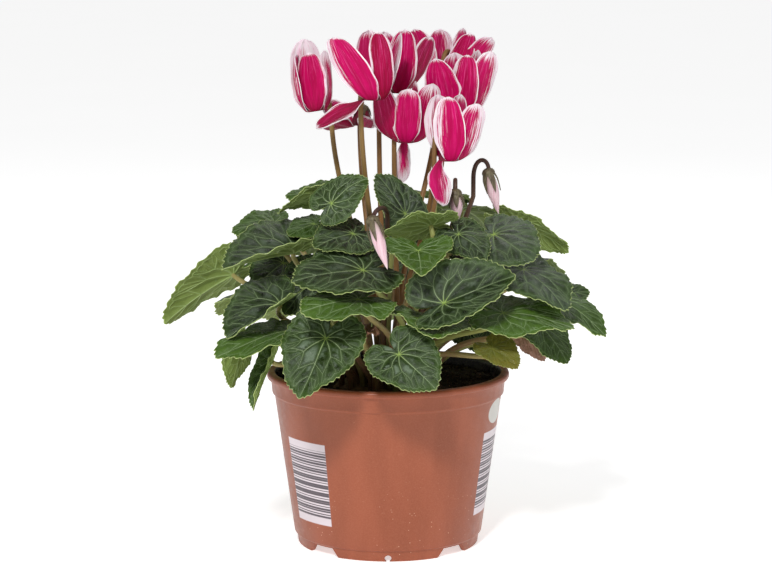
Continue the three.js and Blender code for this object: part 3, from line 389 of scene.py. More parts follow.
def leaf_under_material():
    material, s = new_material("leaf_under")
    look, more, field = s.attribute("look"), s.attribute("more"), s.attribute("field")
    tone = s.parts(look.outputs["Color"])[0]
    near, rim, _ = s.parts(field.outputs["Color"])[:3]
    place = s.place()
    mottle = s.noise(place, 140, 4, 0.6)
    bright = s.plus(s.times(tone, 0.5), s.smooth(mottle, 0.3, 0.7, 0.1, 0.5))
    green = s.mix(bright, srgb(88, 106, 46), srgb(128, 146, 78))
    green = s.mix(s.times(near, 0.25), green, srgb(156, 172, 108))
    green = s.mix(s.smooth(rim, 0.975, 0.998), green, srgb(150, 172, 90))
    height = s.plus(s.times(s.cells(place, 1500), 0.6), mottle)
    s.finish(leaf_tint(s, green, look, more), 0.55, s.bump(height, 0.35, 0.0006), Specular_IOR_Level=0.15)
    return material


def vein_material():
    material, s = new_material("leaf_vein")
    look, more, field = s.attribute("look"), s.attribute("more"), s.attribute("field")
    tone = s.parts(look.outputs["Color"])[0]
    pale = s.parts(more.outputs["Color"])[2]
    level, rim, under = s.parts(field.outputs["Color"])[:3]
    amount = s.times(pale, s.plus(s.times(level, 0.8), 0.12))
    green = s.mix(tone, srgb(30, 56, 30), srgb(84, 130, 48))
    green = s.mix(amount, green, srgb(178, 194, 152))
    green = s.mix(s.times(s.smooth(rim, 0.26, 0.02), 0.75), green, srgb(150, 176, 70))
    green = s.mix(s.times(under, 0.9), green, srgb(148, 168, 102))
    patch = s.noise(s.place(), 500, 3, 0.6)
    green = s.mix(s.smooth(patch, 0.4, 0.7, 0.0, 0.35), green, srgb(96, 128, 66))
    s.finish(leaf_tint(s, green, look, more), 0.45, s.bump(patch, 0.3, 0.0003), Specular_IOR_Level=0.2)
    return material


def stem_material(name, low, high, other, mottled):
    """A fleshy stem: low is its colour at the root, high at the far end, other that of some stems; near the
    root painted shade darkens it.
    """
    material, s = new_material(name)
    stem = s.attribute("stem")
    along, _, seed = s.parts(stem.outputs["Color"])[:3]
    place = s.place()
    streak = s.noise(s.stretch(place, (900, 900, 90)), 1.0, 3, 0.6)
    blend = s.plus(along, s.smooth(streak, 0.35, 0.75, -0.2, 0.25), clamp=True)
    colour = s.mix(blend, low, high)
    colour = s.mix(s.smooth(seed, 0.45, 0.6, 0.0, 0.85), colour, other)
    colour = s.mix(s.smooth(streak, 0.55, 0.75, 0.0, 0.35), colour, mottled)
    # Painted shade: the stem is darkened to near black close to the root, where the leaves above shade it.
    colour = s.mix(s.smooth(along, 0.34, 0.02, 0.0, 0.8), colour, srgb(40, 28, 22))
    rough = s.smooth(streak, 0.3, 0.7, 0.38, 0.52)
    s.finish(colour, rough, s.bump(streak, 0.25, 0.0004), Specular_IOR_Level=0.25)
    return material


def petal_material():
    material, s = new_material("petal")
    petal, look = s.attribute("petal"), s.attribute("petal_look")
    side, up, inner = s.parts(petal.outputs["Color"])[:3]
    seed = petal.outputs["Alpha"]
    white_left, white_right, dark = s.parts(look.outputs["Color"])[:3]
    tip_white = look.outputs["Alpha"]
    plane = s.vector(s.times(side, 30), s.times(up, 2.6), s.times(seed, 50))
    streak = s.noise(plane, 1.0, 4, 0.7)
    coarse = s.vector(s.times(side, 7), s.times(up, 2.0), s.times(seed, 70))
    wash = s.noise(coarse, 1.0, 3, 0.6)
    ragged = s.smooth(streak, 0.3, 0.7, -0.85, 0.85)
    grow = s.smooth(up, 0.1, 0.6)

    def margin(distance, breadth, least):
        """White from an edge inwards, feathered in streaks; least is the thin line that every edge has."""
        reach = s.plus(s.times(s.times(breadth, grow), s.plus(ragged, 1.0)), 0.001)
        broad = s.smooth(s.math("DIVIDE", distance, reach), 1.15, 0.5)
        return s.math("MAXIMUM", broad, s.times(s.smooth(distance, least, 0.4 * least), 0.7))

    left = margin(side, s.times(white_left, 0.72), 0.036)
    right = margin(s.minus(1.0, side), s.times(white_right, 0.72), 0.036)
    tip = margin(s.minus(1.0, up), s.times(tip_white, 0.55), 0.018)
    white = s.math("MAXIMUM", s.math("MAXIMUM", left, right), tip)
    white = s.times(white, s.smooth(up, 0.05, 0.16))
    magenta = s.mix(s.smooth(wash, 0.3, 0.7), srgb(176, 3, 76), srgb(200, 8, 98))
    # Painted shade with the real colour: each petal's dark share is painted shade, and the darkening towards
    # the foot is the flower's darker eye together with painted shade at the mouth.
    eye_and_shade_crimson = s.mix(s.smooth(wash, 0.3, 0.7), srgb(122, 8, 36), srgb(160, 6, 56))
    depth = s.plus(dark, s.smooth(up, 0.5, 0.08, 0.0, 0.6), clamp=True)
    colour = s.mix(depth, magenta, eye_and_shade_crimson)
    colour = s.mix(s.smooth(up, 0.1, 0.02, 0.0, 0.9), colour, srgb(96, 6, 30))
    fine = s.times(s.smooth(streak, 0.52, 0.68), s.smooth(up, 0.35, 0.95, 0.05, 0.75))
    colour = s.mix(fine, colour, srgb(232, 96, 164))
    colour = s.mix(s.times(inner, 0.06), colour, srgb(222, 96, 160))
    pale = s.mix(s.smooth(wash, 0.3, 0.75), srgb(240, 232, 234), srgb(234, 208, 222))
    colour = s.mix(white, colour, pale)
    height = s.noise(s.vector(s.times(side, 36), s.times(up, 2.4), seed), 1.0, 3, 0.6)
    s.finish(colour, 0.45, s.bump(height, 0.4, 0.0007), Specular_IOR_Level=0.08)
    return material


def mouth_material():
    material, s = new_material("mouth")
    place = s.place()
    grain = s.noise(place, 900, 3, 0.6)
    colour = s.mix(s.smooth(grain, 0.35, 0.65), srgb(96, 8, 34), srgb(140, 14, 56))
    s.finish(colour, 0.5, s.bump(grain, 0.3, 0.0004))
    return material


def bud_material():
    material, s = new_material("bud")
    bud = s.attribute("stem")
    along, around, lobe = s.parts(bud.outputs["Color"])[:3]
    streak = s.noise(s.vector(s.times(around, 60), s.times(along, 4), 0.0), 1.0, 3, 0.6)
    colour = s.mix(s.smooth(streak, 0.3, 0.7), srgb(232, 208, 210), srgb(222, 176, 190))
    colour = s.mix(s.smooth(along, 0.35, 0.0, 0.0, 0.6), colour, srgb(176, 168, 136))
    colour = s.mix(s.smooth(along, 0.82, 1.0, 0.0, 0.5), colour, srgb(238, 226, 220))
    colour = s.mix(s.smooth(lobe, 0.25, 0.0, 0.0, 0.55), colour, srgb(196, 110, 140))
    s.finish(colour, 0.5, s.bump(streak, 0.3, 0.0004), Sheen_Weight=0.15)
    return material


def calyx_material():
    material, s = new_material("calyx")
    place = s.place()
    grain = s.noise(s.stretch(place, (1200, 1200, 300)), 1.0, 3, 0.6)
    colour = s.mix(s.smooth(grain, 0.3, 0.7), srgb(72, 58, 42), srgb(112, 104, 76))
    s.finish(colour, 0.55, s.bump(grain, 0.3, 0.0004))
    return material


# ---------------------------------------------------------------- meshes
class Sheet:
    """Collects grids of points with faces, materials and colour attributes, and makes one mesh of them."""

    def __init__(self, attributes):
        self.points, self.faces, self.slots = [], [], []
        self.values = {name: [] for name in attributes}
        self.count = 0

    def add(self, points, faces, slot, **values):
        points = np.asarray(points, float).reshape(-1, 3)
        self.points.append(points)
        for face_set in faces if isinstance(faces, list) else [faces]:
            face_set = np.asarray(face_set, int) + self.count
            self.faces.append(face_set)
            self.slots.append(np.full(len(face_set), slot))
        for name, store in self.values.items():
            value = np.asarray(values.get(name, (0, 0, 0, 1)), float)
            store.append(np.broadcast_to(value, (len(points), 4)))
        self.count += len(points)

    def build(self, name, materials, sharp=50):
        points = np.concatenate(self.points)
        mesh = bpy.data.meshes.new(name)
        mesh.vertices.add(len(points))
        mesh.vertices.foreach_set("co", (points * MM).ravel())
        corners = np.concatenate([f.ravel() for f in self.faces])
        sizes = np.concatenate([np.full(len(f), f.shape[1]) for f in self.faces])
        starts = np.concatenate([[0], np.cumsum(sizes)[:-1]])
        mesh.loops.add(len(corners))
        mesh.loops.foreach_set("vertex_index", corners)
        mesh.polygons.add(len(sizes))
        mesh.polygons.foreach_set("loop_start", starts)
        mesh.polygons.foreach_set("loop_total", sizes)
        mesh.polygons.foreach_set("material_index", np.concatenate(self.slots))
        mesh.polygons.foreach_set("use_smooth", np.ones(len(sizes), bool))
        for material in materials:
            mesh.materials.append(material)
        mesh.update(calc_edges=True)
        mesh.validate()
        for key, store in self.values.items():
            layer = mesh.attributes.new(key, "FLOAT_COLOR", "POINT")
            layer.data.foreach_set("color", np.concatenate(store).ravel())
        mesh.set_sharp_from_angle(angle=math.radians(sharp))
        piece = bpy.data.objects.new(name, mesh)
        bpy.context.scene.collection.objects.link(piece)
        return piece


def grid_faces(rows, columns, wrap, flip=False):
    """Quads of a grid of points, rows first. wrap closes each row on itself."""
    across = columns if wrap else columns - 1
    r, c = np.meshgrid(np.arange(rows - 1), np.arange(across), indexing="ij")
    a = r * columns + c
    b = r * columns + (c + 1) % columns
    quads = np.stack([a, b, b + columns, a + columns], -1).reshape(-1, 4)
    return quads[:, ::-1] if flip else quads


def fan_faces(centre, ring, flip=False):
    ring = np.asarray(ring)
    after = np.roll(ring, -1)
    triangles = np.stack([np.full(len(ring), centre), ring, after], -1)
    return triangles[:, ::-1] if flip else triangles


def bezier(points, count):
    t = np.linspace(0, 1, count + 1)[:, None]
    a, b, c, d = (np.asarray(p, float) for p in points)
    return (1 - t) ** 3 * a + 3 * (1 - t) ** 2 * t * b + 3 * (1 - t) * t ** 2 * c + t ** 3 * d


def unit(vector):
    vector = np.asarray(vector, float)
    return vector / np.linalg.norm(vector, axis=-1, keepdims=True)


def tube(route, radii, sides, first_axis):
    """Rings round a route, turning as little as possible. Gives the points and the share of the way along."""
    route = np.asarray(route, float)
    tangents = unit(np.gradient(route, axis=0))
    across = np.asarray(first_axis, float)
    rings = []
    angle = 2 * np.pi * np.arange(sides) / sides
    for spot, tangent, radius in zip(route, tangents, radii):
        across = unit(across - tangent * across.dot(tangent))
        other = np.cross(across, tangent)
        rings.append(spot + radius * (np.outer(np.cos(angle), across) + np.outer(np.sin(angle), other)))
    steps = np.concatenate([[0], np.cumsum(np.linalg.norm(np.diff(route, axis=0), axis=1))])
    return np.array(rings), steps / steps[-1]


def add_tube(sheet, slot, route, radii, sides, first_axis, seed, reverse=False):
    rings, share = tube(route, radii, sides, first_axis)
    count = len(rings)
    points = np.concatenate([rings.reshape(-1, 3), [route[0]], [route[-1]]])
    share = 1 - share if reverse else share
    along = np.concatenate([np.repeat(share, sides), [share[0], share[-1]]])
    around = np.concatenate([np.tile(np.arange(sides) / sides, count), [0, 0]])
    colour = np.stack([along, around, np.full(len(along), seed), np.ones(len(along))], -1)
    faces = [
        grid_faces(count, sides, True),
        fan_faces(count * sides, np.arange(sides), flip=True),
        fan_faces(count * sides + 1, (count - 1) * sides + np.arange(sides)),
    ]
    sheet.add(points, faces, slot, stem=colour)


def node_points(node):
    """The CAD node's own vertices, in millimetres."""
    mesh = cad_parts[node].data
    points = np.empty(len(mesh.vertices) * 3)
    mesh.vertices.foreach_get("co", points)
    return points.reshape(-1, 3) / MM


def root_of(points):
    """Where a stem stands: the middle of its lowest ring."""
    low = points[points[:, 2] < ROOT_Z - ROOT_DEPTH + 0.05]
    low = np.unique(np.round(low, 3), axis=0)
    return np.array([*low[:, :2].mean(0), ROOT_Z])


def ring_misfit(points, centre, radius):
    """How far the nearest vertices are from lying on a ring of that radius."""
    away = np.abs(np.linalg.norm(points - centre, axis=1) - radius)
    return np.sort(away)[:5].sum()


# ---------------------------------------------------------------- heart outline
def outline_curve(q):
    """The Catmull-Rom curve through half of the outline; q runs from the tip (0) to the notch (1)."""
    q = np.clip(np.asarray(q, float), 0, 1)
    last = len(HALF_OUTLINE) - 1
    place = q * last
    start = np.minimum(place.astype(int), last - 1)
    w = (place - start)[..., None]
    p0 = HALF_OUTLINE[np.maximum(start - 1, 0)]
    p1, p2 = HALF_OUTLINE[start], HALF_OUTLINE[start + 1]
    p3 = HALF_OUTLINE[np.minimum(start + 2, last)]
    v0, v1 = (p2 - p0) / 2, (p3 - p1) / 2
    return (2 * p1 - 2 * p2 + v0 + v1) * w ** 3 + (-3 * p1 + 3 * p2 - 2 * v0 - v1) * w ** 2 + v0 * w + p1


DENSE = outline_curve(np.linspace(0, 1, 400))
DENSE_ANGLE = np.abs(np.arctan2(DENSE[:, 1], DENSE[:, 0]))
DENSE_ANGLE[-1] = np.pi
DENSE_REACH = np.hypot(DENSE[:, 0], DENSE[:, 1])


def rim_reach(angle):
    """Distance from the attachment to the rim, in blade lengths."""
    return np.interp(np.abs(angle), DENSE_ANGLE, DENSE_REACH)


def polar(degrees, share):
    """The point at an angle from the tip's direction and a share of the way to the rim."""
    angle = np.radians(np.asarray(degrees, float))
    reach = share * rim_reach(angle)
    return np.stack([reach * np.cos(angle), reach * np.sin(angle)], -1)


# ---------------------------------------------------------------- veins
def curve_between(start, end, bulge, count=8):
    """A curve from start to end in the blade's plane, whose middle is pulled to bulge."""
    t = np.linspace(0, 1, count)[:, None]
    return (1 - t) ** 2 * start + 2 * (1 - t) * t * bulge + t ** 2 * end


def vein_net(rng):
    """Veins of one leaf: (points, first width, last width, level). Widths are in blade lengths.

    Main veins leave the attachment and fork half way. Forks of neighbours meet, and lesser veins run on from
    there to the scallops along the margin.
    """
    def jitter(size):
        return size * rng.normal()

    veins = []
    f = np.linspace(0.0, 1, 16)
    veins.append((polar(jitter(3) * np.sin(np.pi * f), f * 0.975), 0.032, 0.009, 1.0))
    for side in (1, -1):

        def spot(angle, share):
            return polar(side * angle, share)

        def line(start, end, first, last, level, bend=0.06):
            across = np.array([end[1] - start[1], start[0] - end[0]])
            bulge = (start + end) / 2 + jitter(bend) * across
            veins.append((curve_between(start, end, bulge, 9), first, last, level))

        ends = []
        joints = []
        for angle, share in ((8, 0.84), (19, 0.72), (47, 0.76), (80, 0.76), (118, 0.74), (158, 0.72)):
            joints.append((angle + jitter(2), share + jitter(0.02)))
        forks = [(0, 0.66), (0, 0.44)]
        for first, last, share in ((42, 33, 0.5), (82, 63, 0.5), (124, 100, 0.47), (150, 143, 0.5)):
            last += jitter(2)
            share += jitter(0.03)
            steps = np.linspace(0, share, 10)
            angles = first + (last - first) * (steps / share) ** 1.2
            veins.append((polar(side * angles, steps), 0.030, 0.017, 0.95))
            forks.append((last, share))
            line(spot(last, share), spot(last + jitter(2), 0.88), 0.009, 0.006, 0.5)
            ends.append((last, 0.88))
        for k, (angle, share) in enumerate(joints):
            here = spot(angle, share)
            for fork in forks[k:k + 2] if k else forks[:1]:
                line(spot(*fork), here, 0.016, 0.011, 0.78, 0.10)
                middle = ((fork[0] + angle) / 2, (fork[1] + share) / 2)
                if abs(fork[0] - angle) > 11:
                    out = middle[0] + 0.25 * (angle - fork[0]) + jitter(1)
                    line(spot(*middle), spot(out, 0.87), 0.009, 0.006, 0.55, 0.1)
                    ends.append((out, 0.87))
            line(here, spot(angle, 0.9), 0.011, 0.007, 0.65)
            ends.append((angle, 0.9))
        ends.sort()
        ends = [end for k, end in enumerate(ends) if k == 0 or end[0] - ends[k - 1][0] > 2.5]
        for (one, share_one), (two, share_two) in zip(ends, ends[1:]):
            middle = (one + two) / 2
            scallop = curve_between(spot(one, share_one), spot(two, share_two), spot(middle, 0.97), 7)
            veins.append((scallop, 0.009, 0.009, 0.5))
            twig = np.linspace(spot(middle, 0.92), spot(middle + jitter(1), 0.985), 3)
            veins.append((twig, 0.007, 0.004, 0.4))
        for low, high in (((30, 0.26), (62, 0.30)), ((66, 0.26), (98, 0.28)), ((4, 0.24), (33, 0.3))):
            line(spot(*low), spot(*high), 0.007, 0.006, 0.4, 0.25)
    return veins


# ---------------------------------------------------------------- blades
COLUMNS, RINGS, TEETH = 224, 30, 52
RING_SHARES = np.concatenate([np.linspace(0.04, 0.96, RINGS - 2), [0.98, 1.0]])


class Pattern:
    """Teeth, veins and the distance from the veins, shared by several leaves."""

    def __init__(self, seed):
        rng = np.random.default_rng(seed)
        self.veins = vein_net(rng)
        j = np.arange(COLUMNS)
        half = COLUMNS // 2
        q = np.where(j <= half, j / half, (COLUMNS - j) / half)
        rim = outline_curve(q)
        rim[:, 1] *= np.where(j <= half, 1, -1)
        tooth = (TEETH * j / COLUMNS + 0.25 * np.sin(j * 0.21 + seed)) % 1.0
        tooth = np.where(tooth < 0.62, tooth / 0.62, (1 - tooth) / 0.38) - 0.5
        size = 0.05 * (0.7 + 0.6 * rng.random(COLUMNS))
        keep = np.minimum(1, np.minimum(q, 1 - q) * 14)
        lobes = 0.012 * np.sin(2 * np.pi * 9 * j / COLUMNS + seed)
        shares = RING_SHARES[:, None]
        scale = 1 + keep * (tooth * size * np.clip((shares - 0.93) / 0.07, 0, 1) ** 1.5
                            + lobes * np.clip((shares - 0.5) / 0.5, 0, 1))
        self.grid = (shares * scale)[..., None] * rim
        self.share = np.broadcast_to(shares, scale.shape)
        flat = self.grid.reshape(-1, 2)
        near = np.full(len(flat), 9.0)
        for points, _, _, level in self.veins:
            if level < 0.45:
                continue
            fine = np.concatenate([np.linspace(a, b, 4, endpoint=False) for a, b in zip(points, points[1:])])
            away = np.linalg.norm(flat[:, None] - fine[None], axis=2).min(1) + (1 - level) * 0.012
            near = np.minimum(near, away)
        self.away = near.reshape(scale.shape)


class Leaf:
    """The blade's middle surface, as the solids have it."""

    def __init__(self, row, lift, slide):
        (self.node, attach, tip, face, self.width, self.cup, left, right, self.droop, self.wave, self.phase,
         self.look) = row
        start = np.array(attach, float)
        along = np.array(tip, float) - start
        self.length = np.linalg.norm(along)
        self.along = along / self.length
        up = np.array(face, float)
        self.up = unit(up - self.along * up.dot(self.along))
        self.across = np.cross(self.up, self.along)
        self.attach = start + lift * self.up + slide * self.along
        self.fold = np.radians([left, right])

    def point(self, u, v):
        fold = np.where(v > 0, *self.fold)
        reach = np.abs(v) * self.width
        sideways = np.sign(v) * reach * np.cos(fold)
        wave = self.wave * np.sin(WAVES * np.arctan2(v, u) + self.phase) * np.minimum(1, 2 * (u * u + v * v))
        ahead = np.maximum(u, 0)
        bow = (self.cup + self.droop) * ahead * (1 - ahead)
        arch = bow - self.cup * (np.minimum(u, 0) ** 2 + reach * reach)
        rise = reach * np.sin(fold) + arch + wave
        offsets = self.length * np.stack([u, sideways, rise], -1)
        return self.attach + offsets @ np.stack([self.along, self.across, self.up])

    def normal(self, u, v):
        step = 0.02
        du = self.point(u + step, v) - self.point(u - step, v)
        dv = self.point(u, v + step) - self.point(u, v - step)
        return unit(np.cross(du, dv))

    def route(self, root, sway, depth, count):
        start = self.attach - self.up * BLADE / 2
        span = np.linalg.norm(start - root)
        sideways = unit(np.array([-(start[1] - root[1]), start[0] - root[0], 0]))
        above = np.array([root[0] * 1.2, root[1] * 1.2, root[2] + 0.42 * span])
        below = start - 0.22 * span * self.up + 0.3 * sway * sideways
        points = bezier([start, below, above + sway * sideways, root], count)
        return np.concatenate([points, [[root[0], root[1], ROOT_Z - depth]]])


def find_leaf(row, points, root, branches):
    """The lift, slide and sway that the solid of this leaf has."""
    best = None
    for slide in SLIDES:
        for lift in LIFTS:
            leaf = Leaf(row, lift, slide)
            mark = leaf.point(np.array(0.0), np.array(0.0)) + leaf.up * BLADE / 2
            miss = np.linalg.norm(points - mark, axis=1).min()
            if best is None or miss < best[0]:
                best = (miss, leaf)
    leaf = best[1]
    foot = BRANCH_RADIUS if branches else PETIOLE_FOOT
    radii = BRANCH_RADIUS + (foot - BRANCH_RADIUS) * np.array([1, 2]) / 3
    misses = []
    for sway in SWAYS:
        route = leaf.route(root, sway, ROOT_DEPTH, 3)
        misses.append(sum(ring_misfit(points, route[k + 1], radii[k]) for k in (0, 1)))
    sway = SWAYS[int(np.argmin(misses))]
    return leaf, sway


HALF_THICK = 0.25
PUCKER, HALO = 0.05, 0.026


def ruffle(leaf, u, v, share):
    """Small waves near the rim, and the pucker of an old leaf."""
    angle = np.arctan2(v, u)
    edge = np.clip((share - 0.62) / 0.38, 0, 1) ** 2
    size = {"dead": 0.1, "old": 0.03}.get(leaf.look, 0.013)
    wave = np.sin(13 * angle + 1.7 * leaf.phase) + 0.6 * np.sin(23 * angle + leaf.phase)
    return leaf.length * size * edge * wave


def relief(leaf, away, share):
    """Height of the blade between its veins over the veins themselves."""
    size = 0.019 if leaf.look not in ("dead", "old") else 0.03
    return leaf.length * size * (1 - np.exp(-(away / PUCKER) ** 2)) * np.clip((1.02 - share) / 0.2, 0, 1)


def half_thick(share):
    """Half of the blade's thickness, which falls towards the rim."""
    return HALF_THICK * (1.15 - 0.45 * share)


def rim_share(points):
    """How far out each point is, from the attachment (0) to the rim (1)."""
    return np.hypot(*points.T) / rim_reach(np.arctan2(points[:, 1], points[:, 0]))


def add_blade(sheet, leaf, pattern):
    u, v = pattern.grid[..., 0], pattern.grid[..., 1]
    middle = leaf.point(u, v)
    normal = leaf.normal(u, v)
    height = relief(leaf, pattern.away, pattern.share) + ruffle(leaf, u, v, pattern.share)
    middle = middle + height[..., None] * normal
    thick = half_thick(pattern.share[..., None])
    look, more = look_values(leaf)
    near = np.exp(-(pattern.away / HALO) ** 2)
    cell = np.clip(pattern.away / 0.09, 0, 1)
    field = np.stack([near, pattern.share, cell, np.ones_like(near)], -1).reshape(-1, 4)
    hub = leaf.point(np.array(0.0), np.array(0.0))
    rows, columns = u.shape
    count = rows * columns
    for sign, slot in ((1, 0), (-1, 1)):
        points = np.concatenate([(middle + sign * thick * normal).reshape(-1, 3),
                                 [hub + sign * HALF_THICK * leaf.up]])
        values = np.concatenate([field, [[1, 0, 0, 1]]])
        faces = [grid_faces(rows, columns, True, flip=sign > 0),
                 fan_faces(count, np.arange(columns), flip=sign < 0)]
        sheet.add(points, faces, slot, look=look, more=more, field=values)
    top_rim = sheet.count - 2 * (count + 1) + (rows - 1) * columns + np.arange(columns)
    low_rim = top_rim + count + 1
    band = np.stack([top_rim, np.roll(top_rim, -1), np.roll(low_rim, -1), low_rim], -1)[:, ::-1]
    sheet.faces.append(band)
    sheet.slots.append(np.zeros(len(band), int))
    for points, first, last, level in pattern.veins:
        add_vein(sheet, leaf, points, first, last, level, look, more, 1)
        if level > 0.45:
            add_vein(sheet, leaf, points, first * 1.2, last, level, look, more, -1)


def add_vein(sheet, leaf, points, first, last, level, look, more, sign):
    """A thin raised ridge on the upper face (sign 1) or the lower one (-1)."""
    tangent = unit(np.gradient(points, axis=0))
    side = np.stack([-tangent[:, 1], tangent[:, 0]], -1)
    half = np.linspace(first, last, len(points))[:, None] * 0.5
    rows = []
    for offset, rise in ((1, -0.12), (0, 0.11 + 0.12 * (sign < 0) * level), (-1, -0.12)):
        spot = points + offset * half * side
        share = rim_share(spot)
        u, v = spot[:, 0], spot[:, 1]
        normal = leaf.normal(u, v)
        height = ruffle(leaf, u, v, share) + relief(leaf, np.full(len(u), (1 - level) * 0.012), share)
        thick = half_thick(share)
        rows.append(leaf.point(u, v) + (height + sign * (thick + rise))[:, None] * normal)
    grid = np.stack(rows, 1)
    share = rim_share(points)
    under = np.full(len(share), float(sign < 0))
    value = np.stack([np.full(len(share), level), share, under, np.ones(len(share))], -1)
    count = len(points)
    faces = [grid_faces(count, 3, True, flip=sign > 0)]
    caps = np.array([[0, 1, 2], [3 * count - 1, 3 * count - 2, 3 * count - 3]])
    faces.append(caps[:, ::-1] if sign < 0 else caps)
    sheet.add(grid.reshape(-1, 3), faces, 2, look=look, more=more, field=np.repeat(value, 3, axis=0))


def look_values(leaf):
    bright, silver, sheen, yellow, brown, pale = LOOKS[leaf.look]
    return (bright, silver, sheen, 1), (yellow, brown, pale, 1)


def add_petiole(sheet, leaf, root, sway, branches, seed):
    depth = BRANCH_DEPTH if branches else ROOT_DEPTH
    foot = BRANCH_RADIUS if branches else PETIOLE_FOOT
    route = leaf.route(root, sway, depth, 26)
    route[0] = leaf.attach
    share = np.linspace(0, 1, len(route))
    radii = BRANCH_RADIUS * 0.92 + (foot * 0.95 - BRANCH_RADIUS * 0.92) * share
    flare = NECK * leaf.length * 0.75
    radii = radii + np.maximum(0, flare - radii) * np.exp(-(share / 0.05) ** 2)
    add_tube(sheet, 3, route, radii, 12, leaf.along, seed, reverse=True)


PATTERNS = 8


def make_leaves(materials):
    rng = np.random.default_rng(RNG_SEED)
    patterns = [Pattern(k) for k in range(PATTERNS)]
    for node in dict.fromkeys(row[0] for row in LEAVES):
        points = node_points(node)
        root = root_of(points)
        sheet = Sheet(["look", "more", "field", "stem"])
        for k, row in enumerate(r for r in LEAVES if r[0] == node):
            leaf, sway = find_leaf(row, points, root, k > 0)
            add_blade(sheet, leaf, patterns[leaf.phase % PATTERNS])
            add_petiole(sheet, leaf, root, sway, k > 0, rng.random())
        piece = sheet.build(f"{node}_look", materials)
        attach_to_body(piece, "root")
        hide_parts(node)


# ---------------------------------------------------------------- flowers
def stand_frame(at, lean, side):
    origin, up = np.array(at, float), unit(lean)
    angle = math.radians(side)
    out = np.array([math.cos(angle), math.sin(angle), 0])
    out = unit(out - up * out.dot(up))
    left = np.cross(up, out)
    axes = np.stack([out, left, up])
    return lambda points: origin + np.asarray(points, float) @ axes


def stalk_route(place, reach, rise, calyx_z, slant, root, sway, arc_steps, drop_steps):
    crest = calyx_z + rise
    top, shoulder, beside = place([[0, 0, calyx_z + 1], [reach, 0, calyx_z - 2],
                                   [reach, 0, calyx_z - STALK_CLEAR]])
    arc = bezier([top, place([0, 0, crest]), place([reach, 0, crest]), shoulder], arc_steps)
    fall = root - beside
    bend = place([*sway, 0]) - place([0, 0, 0])
    drop = bezier([beside, beside + fall * [slant * 0.35, slant * 0.35, 0.35] + bend,
                   np.array([root[0], root[1], root[2] - 0.4 * fall[2]]) + bend, root], drop_steps)
    return np.concatenate([arc, drop, [[root[0], root[1], ROOT_Z - ROOT_DEPTH]]])


def find_sway(points, place, reach, rise, calyx_z, slant, root):
    misses = []
    for sway in SIDE_STEPS:
        route = stalk_route(place, reach, rise, calyx_z, slant, root, sway, 4, 4)
        misses.append(sum(ring_misfit(points, route[k], STALK_RADIUS) for k in (6, 7)))
    return SIDE_STEPS[int(np.argmin(misses))]


# Radius of the calyx cup and its height over the stalk's end.
CALYX_PROFILE = [(0.9, 2.9), (1.6, 2.7), (2.5, 2.1), (3.1, 1.2), (3.3, 0.3), (3.0, -0.4), (1.5, -0.5)]
CALYX_SIDES, SEPALS, SEPAL_HALF = 25, 5, 1.9


def add_calyx(sheet, slot, place, z, sepal):
    """A small cup where the stalk ends, with five pointed sepals that lie on the tube or the bud."""
    angle = 2 * np.pi * np.arange(CALYX_SIDES) / CALYX_SIDES
    rings = np.array([[[r * math.cos(a), r * math.sin(a), z + h] for a in angle] for r, h in CALYX_PROFILE])
    sheet.add(place(rings.reshape(-1, 3)), grid_faces(len(CALYX_PROFILE), CALYX_SIDES, True), slot)
    for k in range(SEPALS):
        turn = 2 * np.pi * (k + 0.5) / SEPALS
        t = np.linspace(0, 1, 9)[:, None]
        s = np.linspace(-1, 1, 7)[None, :]
        half = SEPAL_HALF * (1 - t) ** 0.8 * (1 + 0.5 * t)
        reach = np.interp(t, *sepal[0]) + 0.25 + 0.3 * np.sin(np.pi * t) - 0.12 * s ** 2
        low = np.interp(t, *sepal[1]) + 0 * s
        spread = half * s / np.maximum(reach, 1)
        outer = np.stack([reach * np.cos(turn + spread), reach * np.sin(turn + spread), low], -1)
        shrink = reach - 0.35
        inner = np.stack([shrink * np.cos(turn + spread), shrink * np.sin(turn + spread), low], -1)
        add_shell(sheet, slot, place(outer.reshape(-1, 3)).reshape(outer.shape),
                  place(inner.reshape(-1, 3)).reshape(inner.shape))


def add_shell(sheet, slot, front, back, **values):
    """A closed thin sheet from two like grids of points."""
    rows, columns = front.shape[:2]
    shift = rows * columns
    points = np.concatenate([front.reshape(-1, 3), back.reshape(-1, 3)])
    index = np.arange(shift).reshape(rows, columns)
    border = np.concatenate([index[0], index[1:, -1], index[-1, -2::-1], index[-2:0:-1, 0]])
    after = np.roll(border, -1)
    wall = np.stack([border, border + shift, after + shift, after], -1)
    faces = [grid_faces(rows, columns, False), grid_faces(rows, columns, False, flip=True) + shift, wall]
    sheet.add(points, faces, slot, **values)


def petal_line(length, rise, t):
    """Radius and height of a petal's middle line, and its tangent."""
    angle = math.radians(rise)
    start = np.array([MOUTH_RADIUS - 0.9, 0.4])
    tip = start + [PETAL_OUT + length * math.cos(angle), length * math.sin(angle)]
    bend = angle + PETAL_CURL
    before = tip - 0.5 * length * np.array([math.cos(bend), math.sin(bend)])
    a, b, c, d = start, start + PETAL_BEND, before, tip
    t = t[..., None]
    spot = (1 - t) ** 3 * a + 3 * (1 - t) ** 2 * t * b + 3 * (1 - t) * t ** 2 * c + t ** 3 * d
    slope = 3 * (1 - t) ** 2 * (b - a) + 6 * (1 - t) * t * (c - b) + 3 * t ** 2 * (d - c)
    return spot, unit(slope)


def smoothstep(x, low, high):
    x = np.clip((x - low) / (high - low), 0, 1)
    return x * x * (3 - 2 * x)


